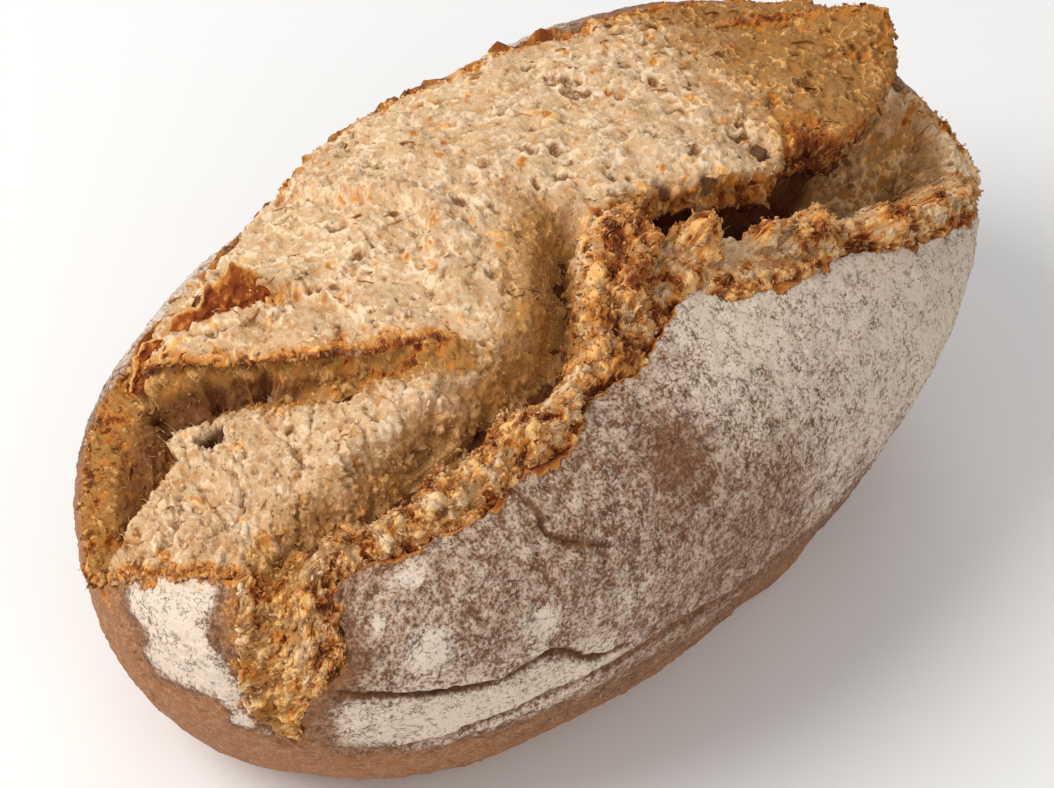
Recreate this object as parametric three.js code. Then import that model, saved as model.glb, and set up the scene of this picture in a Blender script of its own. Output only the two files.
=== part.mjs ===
// A whole wheat bread loaf, baked free on a stone: a long oval loaf with a floured crust that burst open along its top.
// Millimetres, +Z up, +X along the loaf. The loaf stands on its flat base, and the origin is under the middle of its box.
//
// The loaf is one solid. Its outline is a smooth hull, and everything torn in the oven is relief on that hull: torn
// edges are drawn as lines on it, and each line raises, sinks or slides the surface beside it.
import * as THREE from "three";
import { ImprovedNoise } from "three/addons/math/ImprovedNoise.js";
import { mergeVertices } from "three/addons/utils/BufferGeometryUtils.js";

const { lerp, smoothstep } = THREE.MathUtils;

// Outline of the loaf.
const HALF_LENGTH = 135;
const NEAR_HALF_WIDTH = 78.3; // the -Y side, where the crust wall stands tall
const BACK_HALF_WIDTH = 73.1;
const HEIGHT = 105.5;
const BELLY_HEIGHT = 62.4; // height of the widest line
const BELLY_DEPTH = 82.9; // how far the underside would curve below the belly; the stone cuts it flat
const BELLY_TILT = -0.55;

// Fullness: 2 is an ellipse, more is squarer.
const END_FULLNESS = { near: 2.18, far: 2.54 }; // in plan, at the -X and +X ends
const TOP_FULLNESS = { near: 2.15, far: 2.22 }; // the crown's fall towards each end
const UNDER_FULLNESS = { near: 2.36, far: 2.14 }; // the underside's rise towards each end
const SECTION_FULLNESS = { nearUp: 1.96, backUp: 2.14, down: 2.1 };

// Foot of the near wall, which spreads a little on the stone.
const FOOT = { spread: 8, x: 25, length: 24, height: 13 };

// The mesh: rings along the loaf, and rows round it that gather in the burst.
const RINGS = 84;
const ROWS = 60;
const NEAR_CRUST_ROWS = 15; // from the middle of the base up to the near rim
const BACK_CRUST_ROWS = 13; // from the back lip down to the middle of the base

const CRUMB_LUMP = { size: 13, height: 1.3 };
const CRUMB_PIT = { size: 7, height: 0.8 };
const CRUST_WAVE = { size: 38, height: 0.9 };
const TORN_CRAG = { size: 7, height: 2.1 };

const CRUST_COLOUR = 0xb07a48;

const grain = new ImprovedNoise();

function noise(point, size, offset = 0) {
  return grain.noise(point.x / size + offset, point.y / size - offset, point.z / size + 0.37);
}

// How far a full curve has fallen at t, from 1 in the middle to 0 at the ends.
function fall(t, fullness) {
  return Math.max(0, 1 - Math.abs(t) ** fullness) ** (1 / fullness);
}

function section(t) {
  const end = t < 0 ? "near" : "far";
  const belly = BELLY_HEIGHT + BELLY_TILT * t;
  return {
    belly,
    plan: fall(t, END_FULLNESS[end]),
    crown: (HEIGHT - belly) * fall(t, TOP_FULLNESS[end]),
    keel: BELLY_DEPTH * fall(t, UNDER_FULLNESS[end]),
  };
}

// The hull at t along (-1 to 1) and an angle round: 0 under the loaf, 90 degrees at the near belly, 180 on top.
function hull(t, angle) {
  const across = -Math.sin(angle);
  const up = -Math.cos(angle);
  const { belly, plan, crown, keel } = section(t);
  const isNear = across < 0;
  const side = isNear ? NEAR_HALF_WIDTH : BACK_HALF_WIDTH;
  const upFullness = isNear ? SECTION_FULLNESS.nearUp : SECTION_FULLNESS.backUp;
  const fullness = up > 0 ? upFullness : SECTION_FULLNESS.down;
  const y = side * plan * Math.sign(across) * Math.abs(across) ** (2 / fullness);
  const rise = Math.abs(up) ** (2 / fullness);
  const z = up > 0 ? belly + crown * rise : Math.max(0, belly - keel * rise);
  return new THREE.Vector3(HALF_LENGTH * t, y, z);
}

function outward(point) {
  const side = point.y < 0 ? NEAR_HALF_WIDTH : BACK_HALF_WIDTH;
  const above = point.z > BELLY_HEIGHT;
  const half = above ? HEIGHT - BELLY_HEIGHT : BELLY_DEPTH;
  const along = point.x / HALF_LENGTH;
  return new THREE.Vector3(
    (Math.sign(along) * Math.abs(along) ** 1.4) / HALF_LENGTH,
    point.y / side ** 2,
    (point.z - BELLY_HEIGHT) / half ** 2,
  ).normalize();
}

// Angle round the hull of a point on it.
function angleOf([x, y, z]) {
  const { belly, plan, crown, keel } = section(x / HALF_LENGTH);
  const isNear = y < 0;
  const side = isNear ? NEAR_HALF_WIDTH : BACK_HALF_WIDTH;
  const upFullness = isNear ? SECTION_FULLNESS.nearUp : SECTION_FULLNESS.backUp;
  const fullness = z > belly ? upFullness : SECTION_FULLNESS.down;
  const across = Math.min(1, Math.abs(y) / (side * plan)) ** (fullness / 2);
  const up = Math.min(1, Math.abs(z - belly) / (z > belly ? crown : keel)) ** (fullness / 2);
  const angle = Math.atan2(across, z > belly ? -up : up);
  return isNear ? angle : 2 * Math.PI - angle;
}

// A torn edge drawn on the hull. Each stop is [x, y, z, ...sizes]. near() gives the distance to the edge, which is
// positive to the left of its run as seen from outside, and the sizes at the closest place.
class Edge {
  constructor(...stops) {
    const perStop = 5;
    const curve = new THREE.CatmullRomCurve3(stops.map(([x, y, z]) => new THREE.Vector3(x, y, z)));
    this.points = curve.getPoints(perStop * (stops.length - 1));
    this.sizes = this.points.map((_, k) => {
      const from = Math.min(Math.floor(k / perStop), stops.length - 2);
      const share = k / perStop - from;
      return stops[from].slice(3).map((size, i) => lerp(size, stops[from + 1][3 + i], share));
    });
  }

  near(point, normal) {
    let best = Infinity;
    let found;
    for (let k = 0; k + 1 < this.points.length; k++) {
      const from = this.points[k];
      const run = this.points[k + 1].clone().sub(from);
      const reach = point.clone().sub(from);
      const share = Math.min(1, Math.max(0, reach.dot(run) / run.lengthSq()));
      const gap = reach.clone().addScaledVector(run, -share);
      if (gap.length() < best) {
        best = gap.length();
        found = { k, share, side: Math.sign(run.clone().cross(reach).dot(normal)) || 1, run };
      }
    }
    const sizes = this.sizes[found.k].map((size, i) => lerp(size, this.sizes[found.k + 1][i], found.share));
    const left = normal.clone().cross(found.run).normalize();
    return { distance: best * found.side, sizes, left };
  }
}

// Upper edge of the near crust wall, from the foot of the end crack up, along the loaf and round the far end.
// Sizes: width of the torn band behind it, and height of that band's crest.
const NEAR_RIM = new Edge(
  [-123, -31, 43, 1, 0],
  [-125, -33, 57, 2, 0.5],
  [-122, -31, 73, 3, 1],
  [-112, -25, 84, 5, 2],
  [-100, -33, 87, 6, 1.5],
  [-86, -39, 90, 6, 1.5],
  [-74, -44, 90, 8, 2],
  [-65, -40, 94, 9, 3],
  [-57, -42, 95, 7, 2],
  [-42, -43, 96, 5, 1],
  [-28, -47, 96, 7, 2],
  [-15, -43, 98, 8, 3],
  [0, -41, 99, 9, 4],
  [6, -48, 96, 8, 1],
  [27, -53, 93, 9, 4],
  [45, -55, 90, 7, 2],
  [58, -60, 86, 8, 3],
  [78, -62, 79, 6, 1.5],
  [102, -58, 69, 4, 1],
  [115, -51, 67, 3, 1],
  [118, -40, 76, 3, 1],
  [117, -28, 81, 3, 0],
);

// Deepest line of the burst, behind the torn band. Sizes: depth, half width of its floor, and the run of the slope up
// to the rim and up to the crumb dome.
const VALLEY = new Edge(
  [-108, -22, 88, 4, 1, 4, 12],
  [-89, -29, 93, 8, 1, 4, 16],
  [-66, -32, 97, 9, 1, 4, 16],
  [-44, -34, 99, 12, 1.5, 4, 14],
  [-30, -30, 101, 11, 1.5, 3, 9],
  [-14, -17, 104, 8, 1, 3, 6],
  [0, -12, 105, 5, 1, 3, 4],
  [12, -22, 104, 14, 2, 4, 4],
  [22, -34, 101, 20, 3, 4, 4],
  [38, -40, 98, 22, 4, 4, 4],
  [58, -43, 94, 24, 5, 4, 5],
  [80, -45, 88, 25, 8, 5, 6],
  [98, -42, 84, 21, 9, 5, 7],
  [109, -37, 81, 10, 5, 4, 6],
  [115, -30, 81, 2, 2, 3, 4],
);

// A tower of torn crumb that leans back from the rim. Sizes: height above the hull and half width.
const TOWER = new Edge([-31, -43, 97, 2, 8], [-22, -37, 100, 4, 9], [-12, -29, 102, 5, 8], [-2, -22, 104, 6.5, 6]);

// Lip of the back-left crust and of the first crumb plate, over a hollow. Sizes: reach and depth of the hollow, and
// overhang of the lip.
const LEFT_LIP = new Edge(
  [-131, 18, 60, 2, 3, 0],
  [-127, 28, 66, 7, 9, 1],
  [-117, 38, 71, 13, 11, 2],
  [-101, 47, 76, 18, 12, 2],
  [-92, 46, 82, 14, 13, 3],
  [-87, 36, 90, 9, 14, 4],
  [-82, 24, 96, 7, 12, 4],
  [-77, 13, 98, 6, 9, 3],
  [-69, 3, 100, 5, 6, 2],
  [-61, -5, 102, 4, 3, 1],
  [-54, -12, 102, 3, 0, 0],
);

// Edge of the crust plate on the near end: its top, then its side along the end crack. Size: step up onto the plate.
const END_PLATE = new Edge(
  [-131, 17, 64, 0],
  [-132, 10, 72, 2],
  [-130, -3, 77, 3],
  [-124, -14, 80, 3],
  [-129, -21, 70, 3],
  [-130, -25, 60, 2],
  [-127, -28, 48, 0],
);

// The crack between the end plate and the near wall. Sizes: depth and half width.
const END_CRACK = new Edge(
  [-112, -19, 86, 3, 4],
  [-119, -21, 81, 6, 5],
  [-126, -26, 71, 7, 5],
  [-128, -29, 60, 5, 4],
  [-125, -30, 46, 2, 3],
  [-122, -30, 38, 0, 2],
);

// Step from the first crumb plate up to the dome. Size: its height.
const PLATE_STEP = new Edge(
  [-33, 56, 89, 0],
  [-31, 48, 94, 2.5],
  [-30, 36, 99, 3.5],
  [-24, 18, 103, 3.5],
  [-37, 5, 104, 3],
  [-45, -4, 104, 1.5],
  [-50, -11, 103, 0],
);

// A raised shard on the first plate. Size: its height.
const SHARD = new Edge([-88, 41, 85, 0], [-77, 39, 91, 3], [-67, 37, 95, 5.5], [-57, 35, 97, 7.5], [-54, 33, 98, 5]);

// Free edge of the dome over the deep valley, rising to the ear at the far end. Sizes: lift and overhang.
const DOME_EDGE = new Edge(
  [-8, -13, 105, 0, 0],
  [5, -19, 104, 1, 2],
  [20, -28, 102, 2, 3],
  [38, -31, 101, 2.5, 4],
  [55, -32, 99, 3, 4],
  [70, -33, 96, 3, 4],
  [90, -29, 92, 4, 4],
  [105, -23, 88, 7, 4],
  [117, -13, 85, 11, 5],
  [121, -1, 82, 8, 4],
  [118, 12, 82, 4, 3],
  [110, 26, 80, 0, 0],
);

// Torn back edge of the burst. Sizes: height of its lip, and drop to the crust behind it.
const BACK_LIP = new Edge(
  [-100, 47, 77, 0, 0],
  [-84, 48, 85, 1.5, 2],
  [-68, 50, 88, 1.5, 3],
  [-48, 52, 91, 1.5, 4],
  [-27, 57, 90, 0.5, 6],
  [1, 61, 87, 2, 4],
  [38, 49, 94, 2.5, 4],
  [60, 42, 95, 2.5, 4],
  [84, 32, 94, 2, 3],
  [104, 28, 86, 1, 1],
  [112, 24, 80, 0, 0],
);

// The rows of the mesh that follow the burst's borders, from end to end.
const NEAR_BORDER = NEAR_RIM.points.map((place) => place.toArray());
const BACK_BORDER = [
  [-131, 18, 60],
  [-117, 38, 71],
  [-101, 47, 76],
  [-84, 48, 85],
  [-48, 52, 91],
  [-27, 57, 90],
  [1, 61, 87],
  [38, 49, 94],
  [60, 42, 95],
  [92, 29, 92],
  [112, 24, 80],
  [121, 8, 80],
];

// The sunken mound of crumb at the near end, which fades out along the loaf into the dome.
const MOUND = { sink: 6, swell: 2, swellSize: 22, fadeFrom: -70, fadeTo: -44, rise: 5 };

// How far behind its edge a raised plate settles back to the hull.
const SETTLE = { step: 20, shard: 6, dome: 20, backCrust: 30 };

// Steepness of the small faces at torn edges, as distances over which they rise.
const FACE = { plate: 2.5, step: 2.5, shard: 3.5, lip: 3, band: 4 };

// 0 up to one value, 1 from the other on, and smooth between them.
const ramp = smoothstep;

// 1 at zero distance, dying away over a few widths.
function bell(distance, width) {
  return Math.exp(-((distance / width) ** 2));
}

// Relief of the crumb in the burst, before the torn band and the crust are laid over it.
function crumbLevel(point, lines) {
  const { lip, valley, plate, crack } = lines;
  const [reach, hollow] = lip.sizes;
  const inside = -lip.distance;
  const moundShare = 1 - ramp(point.x, MOUND.fadeFrom, MOUND.fadeTo);
  const mound = moundShare * (MOUND.swell * noise(point, MOUND.swellSize) - MOUND.sink);
  const hollowed = -hollow * ramp(inside, 0, reach);
  const belowLip = lerp(hollowed, mound, ramp(inside, reach, reach + MOUND.rise));
  let level = inside > 0 ? belowLip : 0;

  const [depth, floor, rimRun, domeRun] = valley.sizes;
  const away = Math.abs(valley.distance);
  const run = valley.distance < 0 ? rimRun : domeRun;
  level -= depth * (1 - ramp(away, floor, floor + run));

  const [crackDepth, crackHalf] = crack.sizes;
  level -= crackDepth * bell(crack.distance, crackHalf);

  // The plate of crust on the near end stands above the crumb round it.
  const onPlate = 1 - ramp(plate.distance, -0.4 * FACE.plate, 0.6 * FACE.plate);
  const [plateStep] = plate.sizes;
  const endShare = 1 - ramp(point.x, -122, -112);
  const onPlateLevel = 0.5 * (1 - plateStep * bell(plate.distance, 4));
  return lerp(level, onPlateLevel, onPlate * endShare);
}

// Steps, shards and lifted edges of the crumb plates.
function plateLevel(point, lines) {
  const { step, shard, dome } = lines;
  const [stepHeight] = step.sizes;
  const ahead = Math.max(0, step.distance);
  let level = stepHeight * ramp(step.distance, 1 - FACE.step, 1) * Math.exp(-ahead / SETTLE.step);
  level -= 0.4 * stepHeight * bell(step.distance + 3, 3);

  const [shardHeight] = shard.sizes;
  const behind = Math.max(0, shard.distance);
  level += shardHeight * ramp(shard.distance, 0.5 - FACE.shard, 0.5) * bell(behind, SETTLE.shard);

  const [lift] = dome.sizes;
  const onDome = Math.max(0, dome.distance);
  level += lift * ramp(dome.distance, 0.5 - FACE.lip, 0.5) * bell(onDome, SETTLE.dome);
  return level;
}

// How far the surface moves in or out along its normal at a place on the hull, and how far it slides sideways.
function relief(point, normal) {
  const lines = {
    rim: NEAR_RIM.near(point, normal),
    valley: VALLEY.near(point, normal),
    tower: TOWER.near(point, normal),
    lip: LEFT_LIP.near(point, normal),
    plate: END_PLATE.near(point, normal),
    crack: END_CRACK.near(point, normal),
    step: PLATE_STEP.near(point, normal),
    shard: SHARD.near(point, normal),
    dome: DOME_EDGE.near(point, normal),
    back: BACK_LIP.near(point, normal),
  };
  const inBurst = burstShare(point, lines);
  const crag = noise(point, TORN_CRAG.size, 5);

  let level = crumbLevel(point, lines) + plateLevel(point, lines);
  level += CRUMB_LUMP.height * noise(point, CRUMB_LUMP.size) + CRUMB_PIT.height * noise(point, CRUMB_PIT.size, 9);

  const [towerHeight, towerHalf] = lines.tower.sizes;
  const onTower = 1 - ramp(Math.abs(lines.tower.distance), 0.5 * towerHalf, towerHalf);
  level = lerp(level, towerHeight + TORN_CRAG.height * crag, onTower);

  // The torn band behind the rim.
  const [bandWidth, crest] = lines.rim.sizes;
  const behindRim = lines.rim.distance;
  const onBand = 1 - ramp(behindRim, bandWidth - 1, bandWidth - 1 + FACE.band);
  const bandLevel = crest * ramp(behindRim, 0, 0.7 * bandWidth) * (1 + crag);
  level = lerp(level, bandLevel, onBand * ramp(behindRim, -3, 0));

  // Crust outside the burst, with the back lip.
  const [lipHeight, drop] = lines.back.sizes;
  const outside = Math.max(0, lines.back.distance);
  const wave = CRUST_WAVE.height * noise(point, CRUST_WAVE.size, 3);
  const backCrust = -drop * ramp(outside, 0, 4) * Math.exp(-outside / SETTLE.backCrust);
  level = lerp(wave + backCrust, level, inBurst);
  level += lipHeight * bell(lines.back.distance, 3);

  const slide = new THREE.Vector3();
  const [, , lipOverhang] = lines.lip.sizes;
  slide.addScaledVector(lines.lip.left, -lipOverhang * overhangShare(lines.lip.distance));
  const [, domeOverhang] = lines.dome.sizes;
  slide.addScaledVector(lines.dome.left, -domeOverhang * overhangShare(lines.dome.distance));
  return { level, slide };
}

// A lip slides over the hollow below it, and the slide dies away behind the edge.
function overhangShare(distance) {
  return ramp(distance, 0.5 - FACE.lip, 0.5) * (1 - ramp(distance, 2, 16));
}

// 1 in the burst, 0 on the crust round it.
function burstShare(point, lines) {
  const pastRim = ramp(lines.rim.distance, -0.5, 0.5);
  const beforeBack = 1 - ramp(lines.back.distance, -0.5, 1.5);
  const byLeftLip = ramp(point.y, 6, 14) * (1 - ramp(point.z, 76, 84)) * (1 - ramp(point.x, -80, -60));
  const insideLip = 1 - byLeftLip * ramp(lines.lip.distance, 0.5, 3);
  const underBelly = ramp(point.z, 34, 46);
  const beyondDome = ramp(point.x, 40, 60) * (1 - ramp(lines.dome.distance, -2, 0));
  const inCavity = 1 - ramp(Math.abs(lines.valley.distance), 10, 16);
  return pastRim * beforeBack * insideLip * underBelly * Math.max(1 - beyondDome, inCavity);
}

// Angle round the hull of a drawn line at x: the highest crossing where it turns back, and its end beyond its ends.
function angleAt(points, x) {
  let best;
  for (let k = 0; k + 1 < points.length; k++) {
    const [x0, y0, z0] = points[k];
    const [x1, y1, z1] = points[k + 1];
    const share = (x - x0) / (x1 - x0 || 1e-6);
    if (share < 0 || share > 1) continue;
    const place = [x, lerp(y0, y1, share), lerp(z0, z1, share)];
    if (!best || place[2] > best[2]) best = place;
  }
  if (best) return angleOf(best);
  const first = points[0];
  const last = points[points.length - 1];
  return angleOf(x < first[0] ? first : last);
}

// The angle of a border row at x, evened out over a few millimetres so that rows don't jump.
function borderAngle(points, x) {
  const spread = [-6, -3, 0, 3, 6];
  const angles = spread.map((by) => angleAt(points, x + by));
  return angles.reduce((sum, angle) => sum + angle, 0) / spread.length;
}

// Angle round the hull of a row of the mesh, which is a whole number of rows from the middle of the base.
function rowAngle(row, x) {
  const rimRow = NEAR_CRUST_ROWS;
  const backRow = ROWS - BACK_CRUST_ROWS;
  const rim = borderAngle(NEAR_BORDER, x);
  const back = borderAngle(BACK_BORDER, x);
  if (row <= rimRow) return lerp(0, rim, row / rimRow);
  if (row <= backRow) return lerp(rim, back, (row - rimRow) / (backRow - rimRow));
  return lerp(back, 2 * Math.PI, (row - backRow) / BACK_CRUST_ROWS);
}

function footSpread(point) {
  const along = bell(point.x - FOOT.x, FOOT.length);
  const low = bell(point.z, FOOT.height);
  const out = ramp(-point.y, 20, 50);
  return FOOT.spread * along * low * out;
}

function loafGeometry() {
  const sphere = new THREE.SphereGeometry(1, ROWS, RINGS);
  const uv = sphere.getAttribute("uv");
  const position = sphere.getAttribute("position");
  for (let i = 0; i < position.count; i++) {
    const t = -Math.cos(Math.PI * uv.getY(i));
    const row = Math.round((1 - uv.getX(i)) * ROWS);
    const place = hull(t, rowAngle(row, HALF_LENGTH * t));
    const normal = outward(place);
    const offBase = ramp(place.z, 0.5, 8);
    const { level, slide } = relief(place, normal);
    const moved = place.clone().addScaledVector(normal, level * offBase).addScaledVector(slide, offBase);
    moved.y -= footSpread(place);
    moved.z = place.z === 0 ? 0 : Math.max(0.2, moved.z);
    position.setXYZ(i, moved.x, moved.y, moved.z);
  }
  sphere.deleteAttribute("normal");
  sphere.deleteAttribute("uv");
  const geometry = mergeVertices(sphere, 1e-3);
  geometry.computeBoundingBox();
  const middle = geometry.boundingBox.getCenter(new THREE.Vector3());
  geometry.translate(-middle.x, -middle.y, -geometry.boundingBox.min.z);
  geometry.computeVertexNormals();
  return geometry;
}

const crust = new THREE.MeshStandardMaterial({ color: CRUST_COLOUR, roughness: 0.9, metalness: 0 });
const loaf = new THREE.Mesh(loafGeometry(), crust);
loaf.name = "loaf";

const bread = new THREE.Group();
bread.add(loaf);
export default bread;
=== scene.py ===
"""Looks of a whole wheat hearth loaf: a floured crust, burst open along its top over torn, browned crumb.

The loaf is dressed with nested closed skins that all follow one hull: the crust, and the crumb that shows in
the burst. Each skin is a sphere whose points are moved onto the hull and then in or out by the relief. Torn
edges are lines drawn on the hull, and each line raises, sinks or slides the surface beside it. Sizes are in
millimetres here, and meshes are written in metres.
"""
import math

import bmesh
import bpy
import numpy as np
from mathutils import Matrix, Vector


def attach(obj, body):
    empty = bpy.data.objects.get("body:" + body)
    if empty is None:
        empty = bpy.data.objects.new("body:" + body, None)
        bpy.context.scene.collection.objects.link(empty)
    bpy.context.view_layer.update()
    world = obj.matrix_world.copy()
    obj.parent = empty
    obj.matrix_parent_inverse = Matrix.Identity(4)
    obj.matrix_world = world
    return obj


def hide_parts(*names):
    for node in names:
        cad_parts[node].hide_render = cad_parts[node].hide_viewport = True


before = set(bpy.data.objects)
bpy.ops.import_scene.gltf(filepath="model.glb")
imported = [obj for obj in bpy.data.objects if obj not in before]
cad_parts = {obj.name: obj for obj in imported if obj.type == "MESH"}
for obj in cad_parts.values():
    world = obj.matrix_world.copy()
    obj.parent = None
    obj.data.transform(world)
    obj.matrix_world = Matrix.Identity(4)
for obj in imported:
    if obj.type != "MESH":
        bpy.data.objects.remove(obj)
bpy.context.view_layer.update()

MM = 0.001

# ---- Sizes of the loaf, as it was modelled, in millimetres ----

HALF_LENGTH = 135.0
NEAR_HALF_WIDTH = 78.3
BACK_HALF_WIDTH = 73.1
HEIGHT = 105.5
BELLY_HEIGHT = 62.4
BELLY_DEPTH = 82.9
BELLY_TILT = -0.55
END_FULLNESS = (2.18, 2.54)
TOP_FULLNESS = (2.15, 2.22)
UNDER_FULLNESS = (2.36, 2.14)
NEAR_UP_FULLNESS = 1.96
BACK_UP_FULLNESS = 2.14
DOWN_FULLNESS = 2.1
FOOT = {"spread": 8.0, "x": 25.0, "length": 24.0, "height": 13.0}

# The hull is drawn round its own middle, and the part's origin is under the middle of its box.
TO_ORIGIN = np.array([0.41, 3.37, 0.0])

# The photograph's view: the camera looks at a point near the middle of the loaf.
VIEW = {"azimuth": -56.73, "elevation": 41.99, "roll": 6.0, "distance": 836.7, "aim": (-6.22, -3.31, 47.66)}
LENS = 119.41
SENSOR = 36.0


# ---- Small maths ----

def ramp(value, low, high):
    share = np.clip((value - low) / (high - low), 0, 1)
    return share * share * (3 - 2 * share)


def blend(first, second, share):
    return first + (second - first) * share


def highest(*values):
    return np.max(np.broadcast_arrays(*values), axis=0)


def bell(distance, width):
    return np.exp(-((distance / width) ** 2))


def dot(first, second):
    return np.einsum("...i,...i->...", first, second)


def unit(vectors):
    return vectors / np.maximum(np.linalg.norm(vectors, axis=-1, keepdims=True), 1e-9)


class Grain:
    """Seeded noise in space: smooth swells, sharp ridges and round cells."""

    def __init__(self, seed):
        draw = np.random.default_rng(seed)
        self.table = np.tile(draw.permutation(256), 3)
        self.slopes = unit(draw.normal(size=(256, 3)))
        self.jitter = draw.uniform(0.1, 0.9, size=(256, 3))

    def _code(self, cell):
        x, y, z = (cell & 255).T
        return self.table[self.table[self.table[x] + y] + z]

    def swell(self, points, size):
        """Smooth noise from about -1 to 1, with lumps of about that size."""
        spot = points / size
        cell = np.floor(spot).astype(int)
        inside = spot - cell
        fade = inside**3 * (inside * (inside * 6 - 15) + 10)
        sides = ((1 - fade).T, fade.T)
        total = np.zeros(len(points))
        for i, j, k in np.ndindex(2, 2, 2):
            step = np.array((i, j, k))
            weight = sides[i][0] * sides[j][1] * sides[k][2]
            total += weight * dot(self.slopes[self._code(cell + step)], inside - step)
        return 1.7 * total

    def rough(self, points, size, octaves=3, share=0.5):
        total = sum(share**k * self.swell(points, size / 2.03**k) for k in range(octaves))
        return total / sum(share**k for k in range(octaves))

    def ridge(self, points, size, octaves=2, share=0.5):
        """Thin raised lines, 1 on the line and 0 away from it."""
        total = sum(share**k * (1 - np.abs(self.swell(points, size / 2.03**k))) ** 3 for k in range(octaves))
        return total / sum(share**k for k in range(octaves))

    def cells(self, points, size):
        """Distances to the nearest and the next cell centre, in cells."""
        spot = points / size
        cell = np.floor(spot).astype(int)
        first = np.full(len(points), 9.0)
        second = np.full(len(points), 9.0)
        for corner in np.ndindex(3, 3, 3):
            near = cell + np.array(corner) - 1
            gap = np.linalg.norm(near + self.jitter[self._code(near)] - spot, axis=1)
            closer = gap < first
            second = np.where(closer, first, np.minimum(second, gap))
            first = np.where(closer, gap, first)
        return first, second


GRAIN = Grain(11)
GRAIN_FINE = Grain(12)
GRAIN_CRUST = Grain(13)


# ---- Hull ----

def fall(t, fullness):
    return np.maximum(0, 1 - np.abs(t) ** fullness) ** (1 / fullness)


def section(t):
    """Height of the belly, share of the plan's width, and the rise above and below the belly, at t along."""
    def of(pair):
        return np.where(t < 0, fall(t, pair[0]), fall(t, pair[1]))

    belly = BELLY_HEIGHT + BELLY_TILT * t
    return belly, of(END_FULLNESS), (HEIGHT - belly) * of(TOP_FULLNESS), BELLY_DEPTH * of(UNDER_FULLNESS)


def hull(t, angle):
    """Points of the hull at t along (-1 to 1) and an angle round: 0 under the loaf, pi on top."""
    across = -np.sin(angle)
    up = -np.cos(angle)
    belly, plan, crown, keel = section(t)
    near = across < 0
    side = np.where(near, NEAR_HALF_WIDTH, BACK_HALF_WIDTH)
    fullness = np.where(up > 0, np.where(near, NEAR_UP_FULLNESS, BACK_UP_FULLNESS), DOWN_FULLNESS)
    y = side * plan * np.sign(across) * np.abs(across) ** (2 / fullness)
    rise = np.abs(up) ** (2 / fullness)
    z = np.where(up > 0, belly + crown * rise, np.maximum(0, belly - keel * rise))
    return np.stack([HALF_LENGTH * t * np.ones_like(y), y, z], axis=-1)


def outward(points):
    x, y, z = points.T
    side = np.where(y < 0, NEAR_HALF_WIDTH, BACK_HALF_WIDTH)
    half = np.where(z > BELLY_HEIGHT, HEIGHT - BELLY_HEIGHT, BELLY_DEPTH)
    along = x / HALF_LENGTH
    lean = np.sign(along) * np.abs(along) ** 1.4 / HALF_LENGTH
    return unit(np.stack([lean, y / side**2, (z - BELLY_HEIGHT) / half**2], axis=-1))


def angle_of(place):
    """Angle round the hull of one place on it."""
    x, y, z = place
    belly, plan, crown, keel = (float(v) for v in section(np.array(x / HALF_LENGTH)))
    near = y < 0
    side = NEAR_HALF_WIDTH if near else BACK_HALF_WIDTH
    above = z > belly
    fullness = (NEAR_UP_FULLNESS if near else BACK_UP_FULLNESS) if above else DOWN_FULLNESS
    across = min(1, abs(y) / (side * plan)) ** (fullness / 2)
    up = min(1, abs(z - belly) / (crown if above else keel)) ** (fullness / 2)
    angle = math.atan2(across, -up if above else up)
    return angle if near else 2 * math.pi - angle


# ---- Torn edges ----

class Edge:
    """A torn edge drawn on the hull. Each stop is x, y, z and the sizes that belong to that place."""

    STEPS = 3

    def __init__(self, *stops):
        self.points = self._curve(np.array([stop[:3] for stop in stops], float))
        sizes = np.array([stop[3:] for stop in stops], float)
        steps = np.arange(len(self.points)) / self.STEPS
        self.sizes = np.stack([np.interp(steps, np.arange(len(stops)), size) for size in sizes.T], axis=-1)

    def _curve(self, stops):
        """A Catmull-Rom curve through the stops."""
        ends = np.vstack([2 * stops[0] - stops[1], stops, 2 * stops[-1] - stops[-2]])
        points = []
        for k in range(1, len(ends) - 2):
            before, start, end, after = ends[k - 1:k + 3]
            for s in np.arange(self.STEPS) / self.STEPS:
                bend = (2 * before - 5 * start + 4 * end - after) * s**2
                turn = (3 * start - before - 3 * end + after) * s**3
                points.append(0.5 * (2 * start + (end - before) * s + bend + turn))
        return np.array(points + [stops[-1]])

    def near(self, points, normals):
        """Distance, positive on the left of the edge's run as seen from outside; the sizes; the left way."""
        best = np.full(len(points), np.inf)
        sizes = np.zeros((len(points), self.sizes.shape[1]))
        side = np.ones(len(points))
        runs = np.zeros_like(points)
        for k in range(len(self.points) - 1):
            run = self.points[k + 1] - self.points[k]
            reach = points - self.points[k]
            share = np.clip(reach @ run / (run @ run), 0, 1)
            gap = np.linalg.norm(reach - share[:, None] * run, axis=1)
            closer = gap < best
            best[closer] = gap[closer]
            sizes[closer] = blend(self.sizes[k], self.sizes[k + 1], share[closer, None])
            side[closer] = np.sign(dot(np.cross(run, reach[closer]), normals[closer]))
            runs[closer] = run
        left = unit(np.cross(normals, runs))
        return best * np.where(side == 0, 1, side), sizes.T, left


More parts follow.
